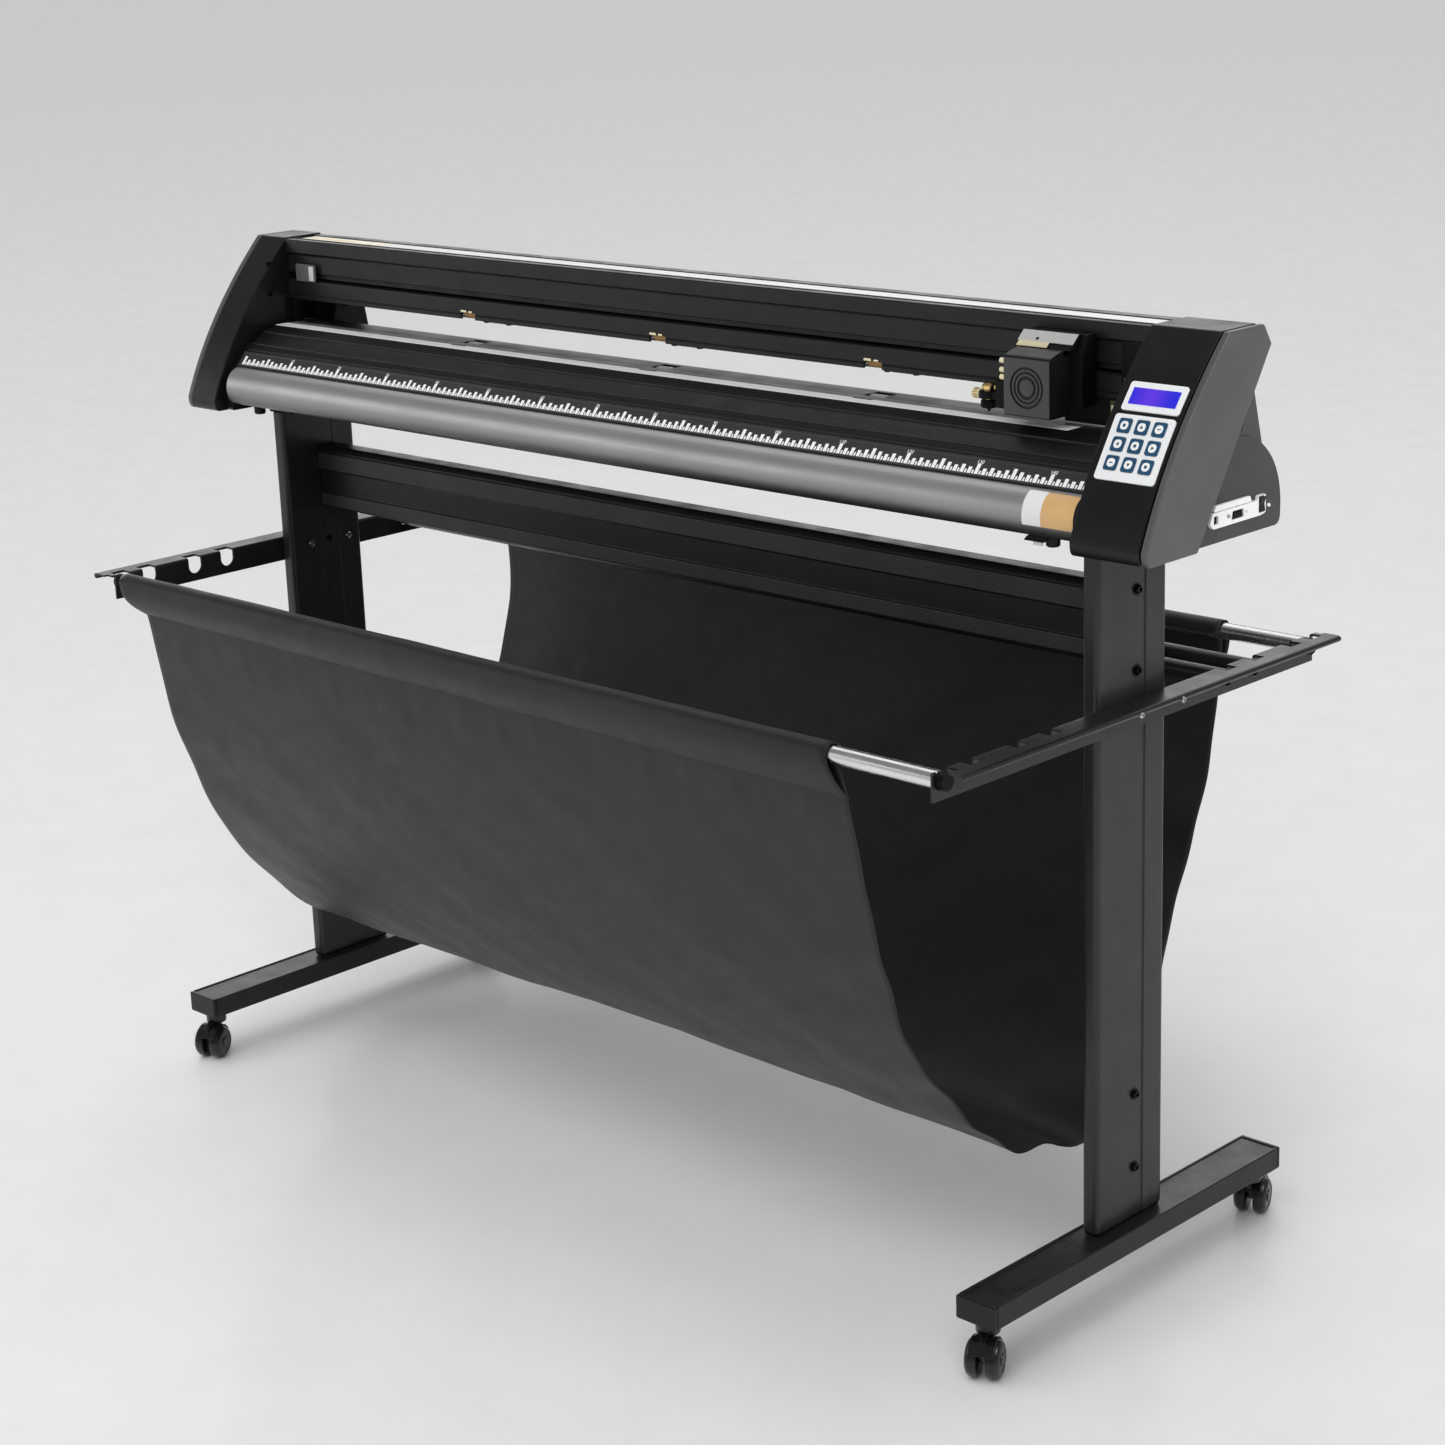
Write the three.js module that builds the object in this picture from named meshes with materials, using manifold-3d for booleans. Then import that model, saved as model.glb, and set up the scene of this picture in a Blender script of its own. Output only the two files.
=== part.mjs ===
// Vinyl cutter on its wheeled stand, with the fabric basket that catches the cut roll.
// Millimetres, +Z up, +X to the operator's right, +Y towards the back of the machine.
// The origin is on the floor under the middle of the stand.
import * as THREE from "three";
import { mergeVertices } from "three/addons/utils/BufferGeometryUtils.js";
import Module from "manifold-3d";

const wasm = await Module();
wasm.setup();

// ---------- driving dimensions ----------
const GAP = 0.3; // clearance between pieces that touch
const BODY_X = 820; // outer face of each end housing
const LEFT_IN = -757; // inner face of the left end housing
const RIGHT_IN = 720; // inner face of the right end housing
const BODY_BOTTOM = 896;
const BODY_TOP = 1120;

const CASTER_H = 63; // floor to the underside of a foot
const WHEEL_R = 22.5;
const WHEEL_TRAIL = 15; // from the swivel axis back to the axle
const WHEEL_WIDTH = 17;
const FOOT_X = 704;
const FOOT_W = 55;
const FOOT_H = 28;
const FOOT_LEN = 544;
const CASTER_Y = 250; // swivel axis, from the middle of a foot

const COLUMN_X = [690, 712];
const COLUMN_Y = [-65, 59];
const COLUMN_SLOT_Y = [-6, 21]; // shallow band that hides the bolt heads' washers
const SLOT_DEPTH = 1.5;
const PLATE_T = 4; // mounting plate on top of each column

const CROSS_Y = [-7, 25];
const CROSS_Z = [751, 838];

const ARM_X = 712.3; // inner face of an arm's upright flange
const ARM_T = 2.5;
const ARM_Z = [681, 714];
const ARM_WEB_X = 741;
const ARM_END = 343; // half the length of the flange
const ARM_NIB = 9; // the web runs this far past the flange at one end
const NOTCH_Y = [329, 288, 213, 159];
const NOTCH_R = 10.6;
const TUBE_R = 10;
const TUBE_BORE = 8.6;
const TUBE_Z = 702;
const TUBE_END = 724; // half the length of the tubes and rods

const BASKET_X = [-668, 572];
const HEM_X = [-702, 572]; // the pockets round the tubes reach further left than the sheet
const BASKET_BOTTOM = 150;
const BASKET_T = 3;
const BASKET_POWER = 1.77; // roundness of the hanging sheet's curve: 2 is an ellipse

const PLATEN_X = [-743, 716];
const PLATEN_TOP = 1004.5;
const APRON_BACK = -84.5;
const APRON_BOTTOM = 896;
const SKIN = 3;

const BEAM_X = [-756.5, 719.5];
const BEAM_Y = [14, 80];
const BEAM_Z = [1036, 1118];
const PINCH_X = [-378, -24, 328];
const NIP_Y = 28; // line where the pinch rollers meet the grit rollers
const GRIT_R = 11;
const SHAFT_R = 5;
const PINCH_R = 7.5;
const PINCH_HALF = 12; // half the length of a pinch roller
const LIFT_Y = 70; // axis of the pinch lift shaft
const LIFT_Z = 1030;
const PINCH_RAISE = 40; // degrees from the nip up to the parked position
const LIFT_R = 4;
const LEVER_X = [700, 706];

const BELT_Y = 32; // axis of the belt pulleys
const BELT_Z = [1066, 1074];
const PULLEY_R = 7.5;
const BELT_T = 1.4;
const IDLER_X = -735;
const DRIVE_X = 742;

const CARRIAGE_X = [566, 650];
const COVER_X = [572, 634];
const TOOL = { x: 514, y: -2 };

const PANEL_LCD = { at: 0.68, w: 73, h: 34, x: 768.5 };
const PANEL_KEYS = { at: 0.45, w: 76, h: 74, x: 768 };
const PANEL_T = 3;
const KEY = { size: 16, pitchX: 22, pitchUp: 21, first: 13, z: [1, 3.4] };

const PORT = { x: [800.3, 805.5], y: [10, 108], z: [910, 935] };
const SWITCH = { y: [96, 105], z: [914.5, 930.5] };

// ---------- materials ----------
const LOOKS = {
  coat: { color: 0x1d1d1f, roughness: 0.5, metalness: 0.2 },
  shell: { color: 0x222224, roughness: 0.45, metalness: 0 },
  fabric: { color: 0x18181a, roughness: 0.9, metalness: 0 },
  rubber: { color: 0x0e0e0f, roughness: 0.8, metalness: 0 },
  aluminium: { color: 0xc8cacd, roughness: 0.3, metalness: 1 },
  steel: { color: 0xa0a2a6, roughness: 0.35, metalness: 1 },
  white: { color: 0xe8eaec, roughness: 0.35, metalness: 0 },
  key: { color: 0x27506e, roughness: 0.4, metalness: 0 },
  tan: { color: 0xa87c48, roughness: 0.6, metalness: 0 },
  brass: { color: 0xc79b4a, roughness: 0.3, metalness: 1 },
};

const machine = new THREE.Group();

function add(name, look, solid) {
  const { vertProperties, triVerts } = solid.getMesh();
  const geometry = new THREE.BufferGeometry();
  geometry.setAttribute("position", new THREE.BufferAttribute(vertProperties, 3));
  geometry.setIndex(new THREE.BufferAttribute(triVerts, 1));
  geometry.computeVertexNormals();
  const mesh = new THREE.Mesh(geometry, new THREE.MeshStandardMaterial(LOOKS[look]));
  mesh.name = name;
  machine.add(mesh);
}

// ---------- solids ----------
function solid(geometry) {
  geometry.deleteAttribute("normal");
  geometry.deleteAttribute("uv");
  const merged = mergeVertices(geometry, 1e-3);
  return new wasm.Manifold(
    new wasm.Mesh({
      numProp: 3,
      vertProperties: merged.attributes.position.array,
      triVerts: new Uint32Array(merged.index.array),
    }),
  );
}

function box([x0, x1], [y0, y1], [z0, z1]) {
  const geometry = new THREE.BoxGeometry(x1 - x0, y1 - y0, z1 - z0);
  return solid(geometry.translate((x0 + x1) / 2, (y0 + y1) / 2, (z0 + z1) / 2));
}

// A cylinder along an axis: `across` holds the other two coordinates in X, Y, Z order.
function rod(axis, r, [from, to], [a, b], sides = 20) {
  const geometry = new THREE.CylinderGeometry(r, r, to - from, sides);
  const middle = (from + to) / 2;
  if (axis === "x") geometry.rotateZ(-Math.PI / 2).translate(middle, a, b);
  if (axis === "y") geometry.translate(a, middle, b);
  if (axis === "z") geometry.rotateX(Math.PI / 2).translate(a, b, middle);
  return solid(geometry);
}

// A closed outline in the YZ plane, drawn along X.
function alongX(shape, [x0, x1], curveSegments = 6) {
  const geometry = new THREE.ExtrudeGeometry(shape, {
    depth: x1 - x0,
    bevelEnabled: false,
    curveSegments,
  });
  const turn = new THREE.Matrix4().set(0, 0, 1, x0, 1, 0, 0, 0, 0, 1, 0, 0, 0, 0, 0, 1);
  return solid(geometry.applyMatrix4(turn));
}

// A closed outline in the XY plane, drawn along Z.
function alongZ(shape, [z0, z1], curveSegments = 6) {
  const geometry = new THREE.ExtrudeGeometry(shape, {
    depth: z1 - z0,
    bevelEnabled: false,
    curveSegments,
  });
  return solid(geometry.translate(0, 0, z0));
}

function polygon(points) {
  return new THREE.Shape(points.map(([u, v]) => new THREE.Vector2(u, v)));
}

function roundedRect([u0, u1], [v0, v1], r) {
  const shape = new THREE.Shape();
  shape.moveTo(u0 + r, v0);
  shape.lineTo(u1 - r, v0);
  shape.quadraticCurveTo(u1, v0, u1, v0 + r);
  shape.lineTo(u1, v1 - r);
  shape.quadraticCurveTo(u1, v1, u1 - r, v1);
  shape.lineTo(u0 + r, v1);
  shape.quadraticCurveTo(u0, v1, u0, v1 - r);
  shape.lineTo(u0, v0 + r);
  shape.quadraticCurveTo(u0, v0, u0 + r, v0);
  return shape;
}

const grow = ([a, b], by) => [a - by, b + by];
const flip = ([a, b]) => [-b, -a];
const sided = (side, range) => (side > 0 ? range : flip(range));

// ---------- stand ----------
function foot(side) {
  const x = sided(side, [FOOT_X - FOOT_W / 2, FOOT_X + FOOT_W / 2]);
  const y = [-FOOT_LEN / 2, FOOT_LEN / 2];
  const z = [CASTER_H, CASTER_H + FOOT_H];
  let body = alongZ(roundedRect(x, y, 3), z, 2);
  body = body.subtract(box(grow(x, -SKIN), grow(y, -SKIN), grow(z, -SKIN)));
  for (const end of [-1, 1]) {
    const at = [side * FOOT_X, end * CASTER_Y];
    body = body.subtract(rod("z", 6 + GAP, [CASTER_H - 1, CASTER_H + SKIN + 1], at));
  }
  return body;
}

function column(side) {
  const bottom = CASTER_H + FOOT_H + GAP;
  const top = BODY_BOTTOM - GAP;
  const [x0, x1] = COLUMN_X;
  const whole = [bottom - 1, top + 1];
  let body = alongZ(roundedRect(COLUMN_X, COLUMN_Y, 5), [bottom, top - PLATE_T], 3);
  body = body.subtract(box(grow(COLUMN_X, -4), grow(COLUMN_Y, -4), whole));
  body = body.subtract(box([x0 - 1, x0 + SLOT_DEPTH], COLUMN_SLOT_Y, whole));
  body = body.subtract(box([x1 - SLOT_DEPTH, x1 + 1], COLUMN_SLOT_Y, whole));
  body = body.add(box([x0 - 18, x1 + 6], grow(COLUMN_Y, -2), [top - PLATE_T, top]));
  return side > 0 ? body : body.mirror([1, 0, 0]);
}

function crossbeam() {
  const [y0, y1] = CROSS_Y;
  const [z0, z1] = CROSS_Z;
  const outline = polygon([
    [y0, z0 + 3], [y0, z0 + 20], [y0 + 2, z0 + 21], [y0 + 2, z0 + 53], [y0, z0 + 54],
    [y0, z1 - 8], [y0 + 4, z1 - 1], [y0 + 7, z1], [y1 - 3, z1], [y1, z1 - 3],
    [y1, z0 + 3], [y1 - 3, z0], [y0 + 3, z0],
  ]);
  const x = [-COLUMN_X[0] + GAP, COLUMN_X[0] - GAP];
  return alongX(outline, x).subtract(box(grow(x, 1), [y0 + 6, y1 - 4], [z0 + 5, z1 - 9]));
}

// The right arm; the left one is the same part turned half a turn about Z.
function arm() {
  const [z0, z1] = ARM_Z;
  const outline = polygon([
    [ARM_X, z0], [ARM_X + ARM_T, z0], [ARM_X + ARM_T, z1 - ARM_T],
    [ARM_WEB_X, z1 - ARM_T], [ARM_WEB_X, z1 - 6], [ARM_WEB_X + 5, z1 - 7],
    [ARM_WEB_X + 7, z1 - 4], [ARM_WEB_X + 6, z1 - 1], [ARM_WEB_X + 3, z1], [ARM_X, z1],
  ]);
  const geometry = new THREE.ExtrudeGeometry(outline, {
    depth: 2 * ARM_END + ARM_NIB,
    bevelEnabled: false,
  });
  geometry.rotateX(Math.PI / 2).translate(0, ARM_END + ARM_NIB, 0);
  let body = solid(geometry);
  const flange = grow([ARM_X, ARM_X + ARM_T], 1);
  body = body.subtract(box(flange, [ARM_END, ARM_END + 20], [z0 - 1, z1 - ARM_T]));
  const web = [ARM_X + ARM_T + 1, ARM_WEB_X + 20];
  body = body.subtract(box(web, [-ARM_END - 1, -ARM_END + ARM_NIB], [z0 - 1, z1 + 1]));
  for (const y of NOTCH_Y.flatMap((at) => [-at, at])) {
    body = body.subtract(rod("x", NOTCH_R, [ARM_X - 1, ARM_X + 17], [y, TUBE_Z], 16));
    const mouth = [y - NOTCH_R, y + NOTCH_R];
    body = body.subtract(box([ARM_X - 1, ARM_X + 17], mouth, [TUBE_Z, z1 + 1]));
  }
  return body;
}

function tube(y) {
  const body = rod("x", TUBE_R, [-TUBE_END, TUBE_END], [y, TUBE_Z], 20);
  return body.subtract(rod("x", TUBE_BORE, [-TUBE_END - 1, TUBE_END + 1], [y, TUBE_Z], 20));
}

// The basket's curve: y and z at t from 0, at the front tube, to 1, at the rear tube.
function basketPoint(t, inset) {
  const angle = Math.PI * t;
  const c = Math.cos(angle);
  const s = Math.sin(angle);
  const power = 2 / BASKET_POWER;
  const half = NOTCH_Y[0] - inset;
  const drop = TUBE_Z - BASKET_BOTTOM - inset;
  return [-half * Math.sign(c) * Math.abs(c) ** power, TUBE_Z - drop * Math.abs(s) ** power];
}

function basket() {
  const steps = 28;
  const outside = [];
  const inside = [];
  for (let i = 0; i <= steps; i++) {
    outside.push(basketPoint(i / steps, -BASKET_T));
    inside.push(basketPoint(i / steps, 0));
  }
  for (const [i, side] of [[0, -1], [steps, 1]]) {
    outside[i] = [side * (NOTCH_Y[0] + TUBE_R + BASKET_T), TUBE_Z];
    inside[i] = [side * (NOTCH_Y[0] + TUBE_R + 0.6), TUBE_Z];
  }
  let body = alongX(polygon([...outside, ...inside.reverse()]), BASKET_X);
  for (const y of [-NOTCH_Y[0], NOTCH_Y[0]]) {
    body = body.add(rod("x", TUBE_R + BASKET_T, HEM_X, [y, TUBE_Z], 20));
    body = body.subtract(rod("x", TUBE_R + 0.6, grow(HEM_X, 1), [y, TUBE_Z], 20));
  }
  return body;
}

// ---------- casters ----------
// Both pieces are built at the swivel axis with the axle behind it, then turned and placed.
function casterFork() {
  const cheek = polygon([
    [WHEEL_TRAIL - 7, WHEEL_R - 3], [WHEEL_TRAIL - 2, WHEEL_R - 8], [WHEEL_TRAIL + 7, WHEEL_R - 4],
    [WHEEL_TRAIL + 14, 34], [WHEEL_TRAIL + 9, 47], [8, 53], [-12, 53], [-12, 49], [-5, 40],
  ]);
  let body = alongX(cheek, [-4, 4]);
  body = body.add(rod("z", 13, [49, CASTER_H - GAP], [0, 0], 18));
  body = body.add(rod("z", 6, [CASTER_H - 1, CASTER_H + 15], [0, 0], 18));
  return body.subtract(rod("x", 3 + GAP, [-6, 6], [WHEEL_TRAIL, WHEEL_R], 14));
}

function casterWheel() {
  const at = [WHEEL_TRAIL, WHEEL_R];
  const inner = 4.4;
  let body = rod("x", 3, [-inner - 2, inner + 2], at, 14);
  for (const side of [-1, 1]) {
    const tread = new THREE.LatheGeometry(
      [
        [0, inner], [WHEEL_R - 1, inner], [WHEEL_R, inner + 1.5], [WHEEL_R, inner + WHEEL_WIDTH - 4],
        [WHEEL_R - 4, inner + WHEEL_WIDTH], [0, inner + WHEEL_WIDTH],
      ].map(([r, along]) => new THREE.Vector2(r, along)),
      24,
    );
    tread.rotateZ(-Math.PI / 2 * side).translate(0, at[0], at[1]);
    body = body.add(solid(tread));
  }
  return body;
}

function placeCaster(piece, x, y, turn) {
  return piece.rotate([0, 0, turn]).translate([x, y, 0]);
}

// ---------- machine body ----------
const FRONT_LOW = [-126, 912];
const FRONT_PULL = [-84.5, 1018];
const FRONT_HIGH = [15, BODY_TOP];
const BACK_LOW = [-37, BODY_BOTTOM];
const BACK_HIGH = [92, 1098];

// Point and slope of the housings' curved front, at t from 0, low, to 1, high.
function front(t) {
  const mix = (a, b, c) => (1 - t) ** 2 * a + 2 * t * (1 - t) * b + t ** 2 * c;
  const slope = (a, b, c) => (1 - t) * (b - a) + t * (c - b);
  const [y, z] = [0, 1].map((i) => mix(FRONT_LOW[i], FRONT_PULL[i], FRONT_HIGH[i]));
  const [dy, dz] = [0, 1].map((i) => slope(FRONT_LOW[i], FRONT_PULL[i], FRONT_HIGH[i]));
  return { y, z, tilt: Math.atan2(dz, dy) };
}

// Side outline of an end housing, moved inwards by `inset` for its hollow.
function housingOutline(inset) {
  const k = inset;
  const shape = new THREE.Shape();
  shape.moveTo(FRONT_LOW[0] + 10 + k, BODY_BOTTOM + k);
  shape.lineTo(BACK_LOW[0] - 0.7 * k, BACK_LOW[1] + k);
  shape.lineTo(BACK_HIGH[0] - 1.1 * k, BACK_HIGH[1] - 0.3 * k);
  shape.lineTo(78 - 0.6 * k, BODY_TOP - k);
  shape.lineTo(FRONT_HIGH[0] + 0.6 * k, FRONT_HIGH[1] - k);
  shape.quadraticCurveTo(FRONT_PULL[0] + 0.8 * k, FRONT_PULL[1] - 0.6 * k, FRONT_LOW[0] + k, FRONT_LOW[1]);
  shape.quadraticCurveTo(FRONT_LOW[0] + k, BODY_BOTTOM + k, FRONT_LOW[0] + 10 + k, BODY_BOTTOM + k);
  return shape;
}

// A shell with a hollow that opens downwards.
function housing([x0, x1]) {
  const hollow = alongX(housingOutline(SKIN + 1), [x0 + SKIN, x1 - SKIN], 10);
  const mouth = box([x0 + 12, x1 - 12], [-110, -50], [BODY_BOTTOM - 1, BODY_BOTTOM + 8]);
  return alongX(housingOutline(0), [x0, x1], 10).subtract(hollow).subtract(mouth);
}

function housingLeft() {
  // The shoulder under the platen's end.
  const shoulder = polygon([
    [-108, BODY_BOTTOM], [-40, BODY_BOTTOM], [20, 984], [-60, 984], [-96, 950],
  ]);
  return housing([-BODY_X, LEFT_IN]).add(alongX(shoulder, [LEFT_IN - 1, PLATEN_X[0] - GAP]));
}

function housingRight() {
  let body = housing([RIGHT_IN, BODY_X]);
  const window = box([RIGHT_IN - 1, RIGHT_IN + SKIN + 1], [19, 46], [1060, 1080]);
  body = body.subtract(window);
  for (const panel of [PANEL_LCD, PANEL_KEYS]) {
    const across = grow([0, 0], panel.w / 2 + GAP);
    const up = grow([0, 0], panel.h / 2 + GAP);
    body = body.subtract(onFront(panel, across, up, [-GAP, 12]));
  }
  return body;
}

// A box lying on the curved front at panel.at: across X, up the slope, and out of it.
function onFront(panel, across, up, out) {
  const place = front(panel.at);
  const piece = box(across, up, out);
  const turn = THREE.MathUtils.radToDeg(place.tilt);
  return piece.translate([0, 0, -1]).rotate([turn, 0, 0]).translate([panel.x, place.y, place.z]);
}

function display() {
  const { w, h } = PANEL_LCD;
  return onFront(PANEL_LCD, [-w / 2, w / 2], [-h / 2, h / 2], [0, PANEL_T]);
}

function keyCentre(index) {
  const column = index % 3;
  const row = Math.floor(index / 3);
  return [(column - 1) * KEY.pitchX, PANEL_KEYS.h / 2 - KEY.first - row * KEY.pitchUp];
}

function keypad() {
  const { w, h } = PANEL_KEYS;
  let body = onFront(PANEL_KEYS, [-w / 2, w / 2], [-h / 2, h / 2], [0, PANEL_T]);
  for (let i = 0; i < 9; i++) body = body.subtract(key(i, GAP, [-1, PANEL_T + 1]));
  return body;
}

function key(index, clearance, out = KEY.z) {
  const [across, up] = keyCentre(index);
  const half = KEY.size / 2 + clearance;
  return onFront(PANEL_KEYS, [across - half, across + half], [up - half, up + half], out);
}

// Rounded cover behind each housing. Its hollow faces the housing.
function rearCover(x) {
  const outline = (k) => {
    const shape = new THREE.Shape();
    shape.moveTo(-34 + (k ? -8 : 0), 893 + k);
    shape.lineTo(133, 893 + k);
    shape.quadraticCurveTo(143 - k, 893 + k, 143 - k, 905);
    shape.quadraticCurveTo(146 - k, 958 - 0.7 * k, 108 - 0.6 * k, 986 - 0.8 * k);
    shape.quadraticCurveTo(82, 1004 - k, 34.5 + (k ? -8 : 0), 1006 - k);
    return shape;
  };
  const hollow = alongX(outline(SKIN), grow(x, -SKIN), 6);
  return alongX(outline(0), x, 6).subtract(hollow);
}

function platen() {
  const top = new THREE.Shape();
  top.moveTo(APRON_BACK + GAP, APRON_BOTTOM);
  top.lineTo(124, APRON_BOTTOM);
  top.quadraticCurveTo(128, 950, 100, 977);
  top.quadraticCurveTo(75, PLATEN_TOP - 3, 46, PLATEN_TOP);
  top.lineTo(-12, PLATEN_TOP);
  // Ridges down the front slope, each a short tread with a step down to the next.
  const start = new THREE.Vector2(-12, PLATEN_TOP);
  const pull = new THREE.Vector2(-52, 997);
  const end = new THREE.Vector2(APRON_BACK + GAP, 966);
  const slope = new THREE.QuadraticBezierCurve(start, pull, end);
  const ridges = 7;
  for (let i = 1; i <= ridges; i++) {
    const edge = slope.getPoint(i / ridges);
    top.lineTo(edge.x + 1.6, edge.y + 1.1);
    top.lineTo(edge.x + 0.2, edge.y - 1.4);
  }
  const hollow = polygon([
    [APRON_BACK + 5, 901], [119, 901], [119, 940], [95, 971], [72, 995],
    [46, PLATEN_TOP - 4], [-10, PLATEN_TOP - 4], [-48, 987], [APRON_BACK + 5, 955],
  ]);
  let body = alongX(top, PLATEN_X, 5).subtract(alongX(hollow, grow(PLATEN_X, 1)));
  for (const x of PINCH_X) {
    body = body.subtract(box([x - 15, x + 15], [NIP_Y - 12.5, NIP_Y + 12.5], [980, PLATEN_TOP + 1]));
  }
  for (const x of [PLATEN_X[0] + 12, PLATEN_X[1] - 60]) {
    body = body.add(rod("z", 8, [886, APRON_BOTTOM + 1], [x, -70], 16));
  }
  return body;
}

function apron() {
  const shape = new THREE.Shape();
  shape.moveTo(APRON_BACK, APRON_BOTTOM);
  shape.lineTo(APRON_BACK, 965);
  shape.lineTo(-96, 960);
  shape.quadraticCurveTo(-113, 953, -114.5, 932);
  shape.quadraticCurveTo(-115, 904, -98, APRON_BOTTOM + 1);
  shape.lineTo(APRON_BACK, APRON_BOTTOM);
  const hollow = polygon([
    [-88, 901], [-88, 959], [-97, 955], [-107, 946], [-111, 931], [-108, 912], [-98, 901],
  ]);
  return alongX(shape, PLATEN_X, 6).subtract(alongX(hollow, grow(PLATEN_X, 1)));
}

function beam() {
  const [y0, y1] = BEAM_Y;
  const [z0, z1] = BEAM_Z;
  const outline = polygon([
    [y0 + 1, z0], [y0 + 1, 1063], [44, 1063], [44, 1077], [y0 + 6, 1077], [y0 + 6, 1103],
    [y0, 1106], [y0, z1 - 2], [y0 + 2, z1], [39, z1], [39, z1 - 3], [61, z1 - 3], [61, z1],
    [y1 - 2, z1], [y1, z1 - 2], [y1, z0], [y1 - 4, z0], [y1 - 4, 1058], [y0 + 4, 1058],
    [y0 + 4, z0],
  ]);
  const hollow = polygon([
    [48, 1062], [y1 - 4, 1062], [y1 - 4, z1 - 7], [y0 + 10, z1 - 7], [y0 + 10, 1081], [48, 1081],
  ]);
  let body = alongX(outline, BEAM_X).subtract(alongX(hollow, grow(BEAM_X, 1)));
  for (const x of PINCH_X) {
    body = body.subtract(box([x - 14, x + 14], [y0 - 1, y0 + 5], [z0 - 1, z0 + 9]));
    for (const side of [-1, 1]) {
      const ear = x + side * 22;
      body = body.add(box([ear - 2, ear + 2], [LIFT_Y - 8, y1], [LIFT_Z - 7, z0 + 1]));
      body = body.subtract(rod("x", LIFT_R + GAP, [ear - 3, ear + 3], [LIFT_Y, LIFT_Z], 16));
    }
  }
  // Notch in the rear lip that the pinch lever swings up into.
  body = body.subtract(box(grow(LEVER_X, 2), [y1 - 5, y1 + 1], [z0 - 1, z0 + 12]));
  // Idler post in the belt groove, and the small bracket that covers it.
  body = body.add(rod("z", 2, [1062, 1078], [IDLER_X, BELT_Y], 12));
  body = body.add(box([IDLER_X + 2, IDLER_X + 44], [y0 - 3, y0 + 1.2], [1058, 1086]));
  return body.subtract(box([IDLER_X + 8, IDLER_X + 40], [y0 - 1, y0 + 7], [1064, 1076]));
}

// ---------- media feed ----------
const SHAFT_AT = [NIP_Y, PLATEN_TOP - GRIT_R];
const FEED_MOTOR_AT = [NIP_Y, 942];
const FEED_BELT_X = [697, 703];

function feedShaft() {
  let body = rod("x", SHAFT_R, [-730, 712], SHAFT_AT, 16);
  for (const x of PINCH_X) body = body.add(rod("x", GRIT_R, [x - 13, x + 13], SHAFT_AT, 24));
  return body;
}

function feedMotor() {
  const [y, z] = FEED_MOTOR_AT;
  return box([640, 690], [y - 21, y + 21], [z - 21, z + 21]);
}

function feedMotorPulley() {
  return rod("x", SHAFT_R, grow(FEED_BELT_X, 3), FEED_MOTOR_AT, 20)
    .add(rod("x", 3, [690.3, 697], FEED_MOTOR_AT, 14));
}

function feedBelt() {
  const loop = (r) => {
    const shape = new THREE.Shape();
    shape.absarc(...SHAFT_AT, r, 0, Math.PI, false);
    shape.absarc(...FEED_MOTOR_AT, r, Math.PI, 2 * Math.PI, false);
    return shape;
  };
  const outside = alongX(loop(SHAFT_R + GAP + 1.2), FEED_BELT_X, 8);
  return outside.subtract(alongX(loop(SHAFT_R + GAP), grow(FEED_BELT_X, 1), 8));
}

const PINCH_LOW = [NIP_Y - LIFT_Y, PLATEN_TOP + PINCH_R + 0.6 - LIFT_Z];
const PINCH_ANGLE = Math.atan2(-PINCH_LOW[1], -PINCH_LOW[0]) - THREE.MathUtils.degToRad(PINCH_RAISE);
const PINCH_REACH = Math.hypot(...PINCH_LOW);
const PINCH_AT = [
  LIFT_Y - PINCH_REACH * Math.cos(PINCH_ANGLE),
  LIFT_Z - PINCH_REACH * Math.sin(PINCH_ANGLE),
];

function pinchArm(x) {
  const [y, z] = PINCH_AT;
  const [dy, dz] = [LIFT_Y - y, LIFT_Z - z].map((d) => d / PINCH_REACH);
  const half = 4.5;
  const bar = polygon([
    [y - dz * half, z + dy * half], [LIFT_Y - dz * half, LIFT_Z + dy * half],
    [LIFT_Y + dz * half, LIFT_Z - dy * half], [y + dz * half, z - dy * half],
  ]);
  const bridge = polygon([
    [y + dy * 14 - dz * half, z + dz * 14 + dy * half], [LIFT_Y - dz * half, LIFT_Z + dy * half],
    [LIFT_Y + dz * half, LIFT_Z - dy * half], [y + dy * 14 + dz * half, z + dz * 14 - dy * half],
  ]);
  const out = PINCH_HALF + 3.5;
  let body = alongX(bridge, [x - out, x + out]);
  for (const side of [-1, 1]) {
    const cheek = side > 0 ? [x + PINCH_HALF + 0.5, x + out] : [x - out, x - PINCH_HALF - 0.5];
    body = body.add(alongX(bar, cheek)).add(rod("x", half, cheek, PINCH_AT, 14));
  }
  body = body.add(rod("x", 7, [x - out, x + out], [LIFT_Y, LIFT_Z], 16));
  body = body.subtract(rod("x", 2 + GAP, [x - out - 1, x + out + 1], PINCH_AT, 12));
  return body.subtract(rod("x", LIFT_R + GAP, [x - out - 1, x + out + 1], [LIFT_Y, LIFT_Z], 16));
}

function pinchRoller(x) {
  const body = rod("x", PINCH_R, [x - PINCH_HALF, x + PINCH_HALF], PINCH_AT, 20);
  return body.add(rod("x", 2, [x - PINCH_HALF - 3.2, x + PINCH_HALF + 3.2], PINCH_AT, 12));
}

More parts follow.
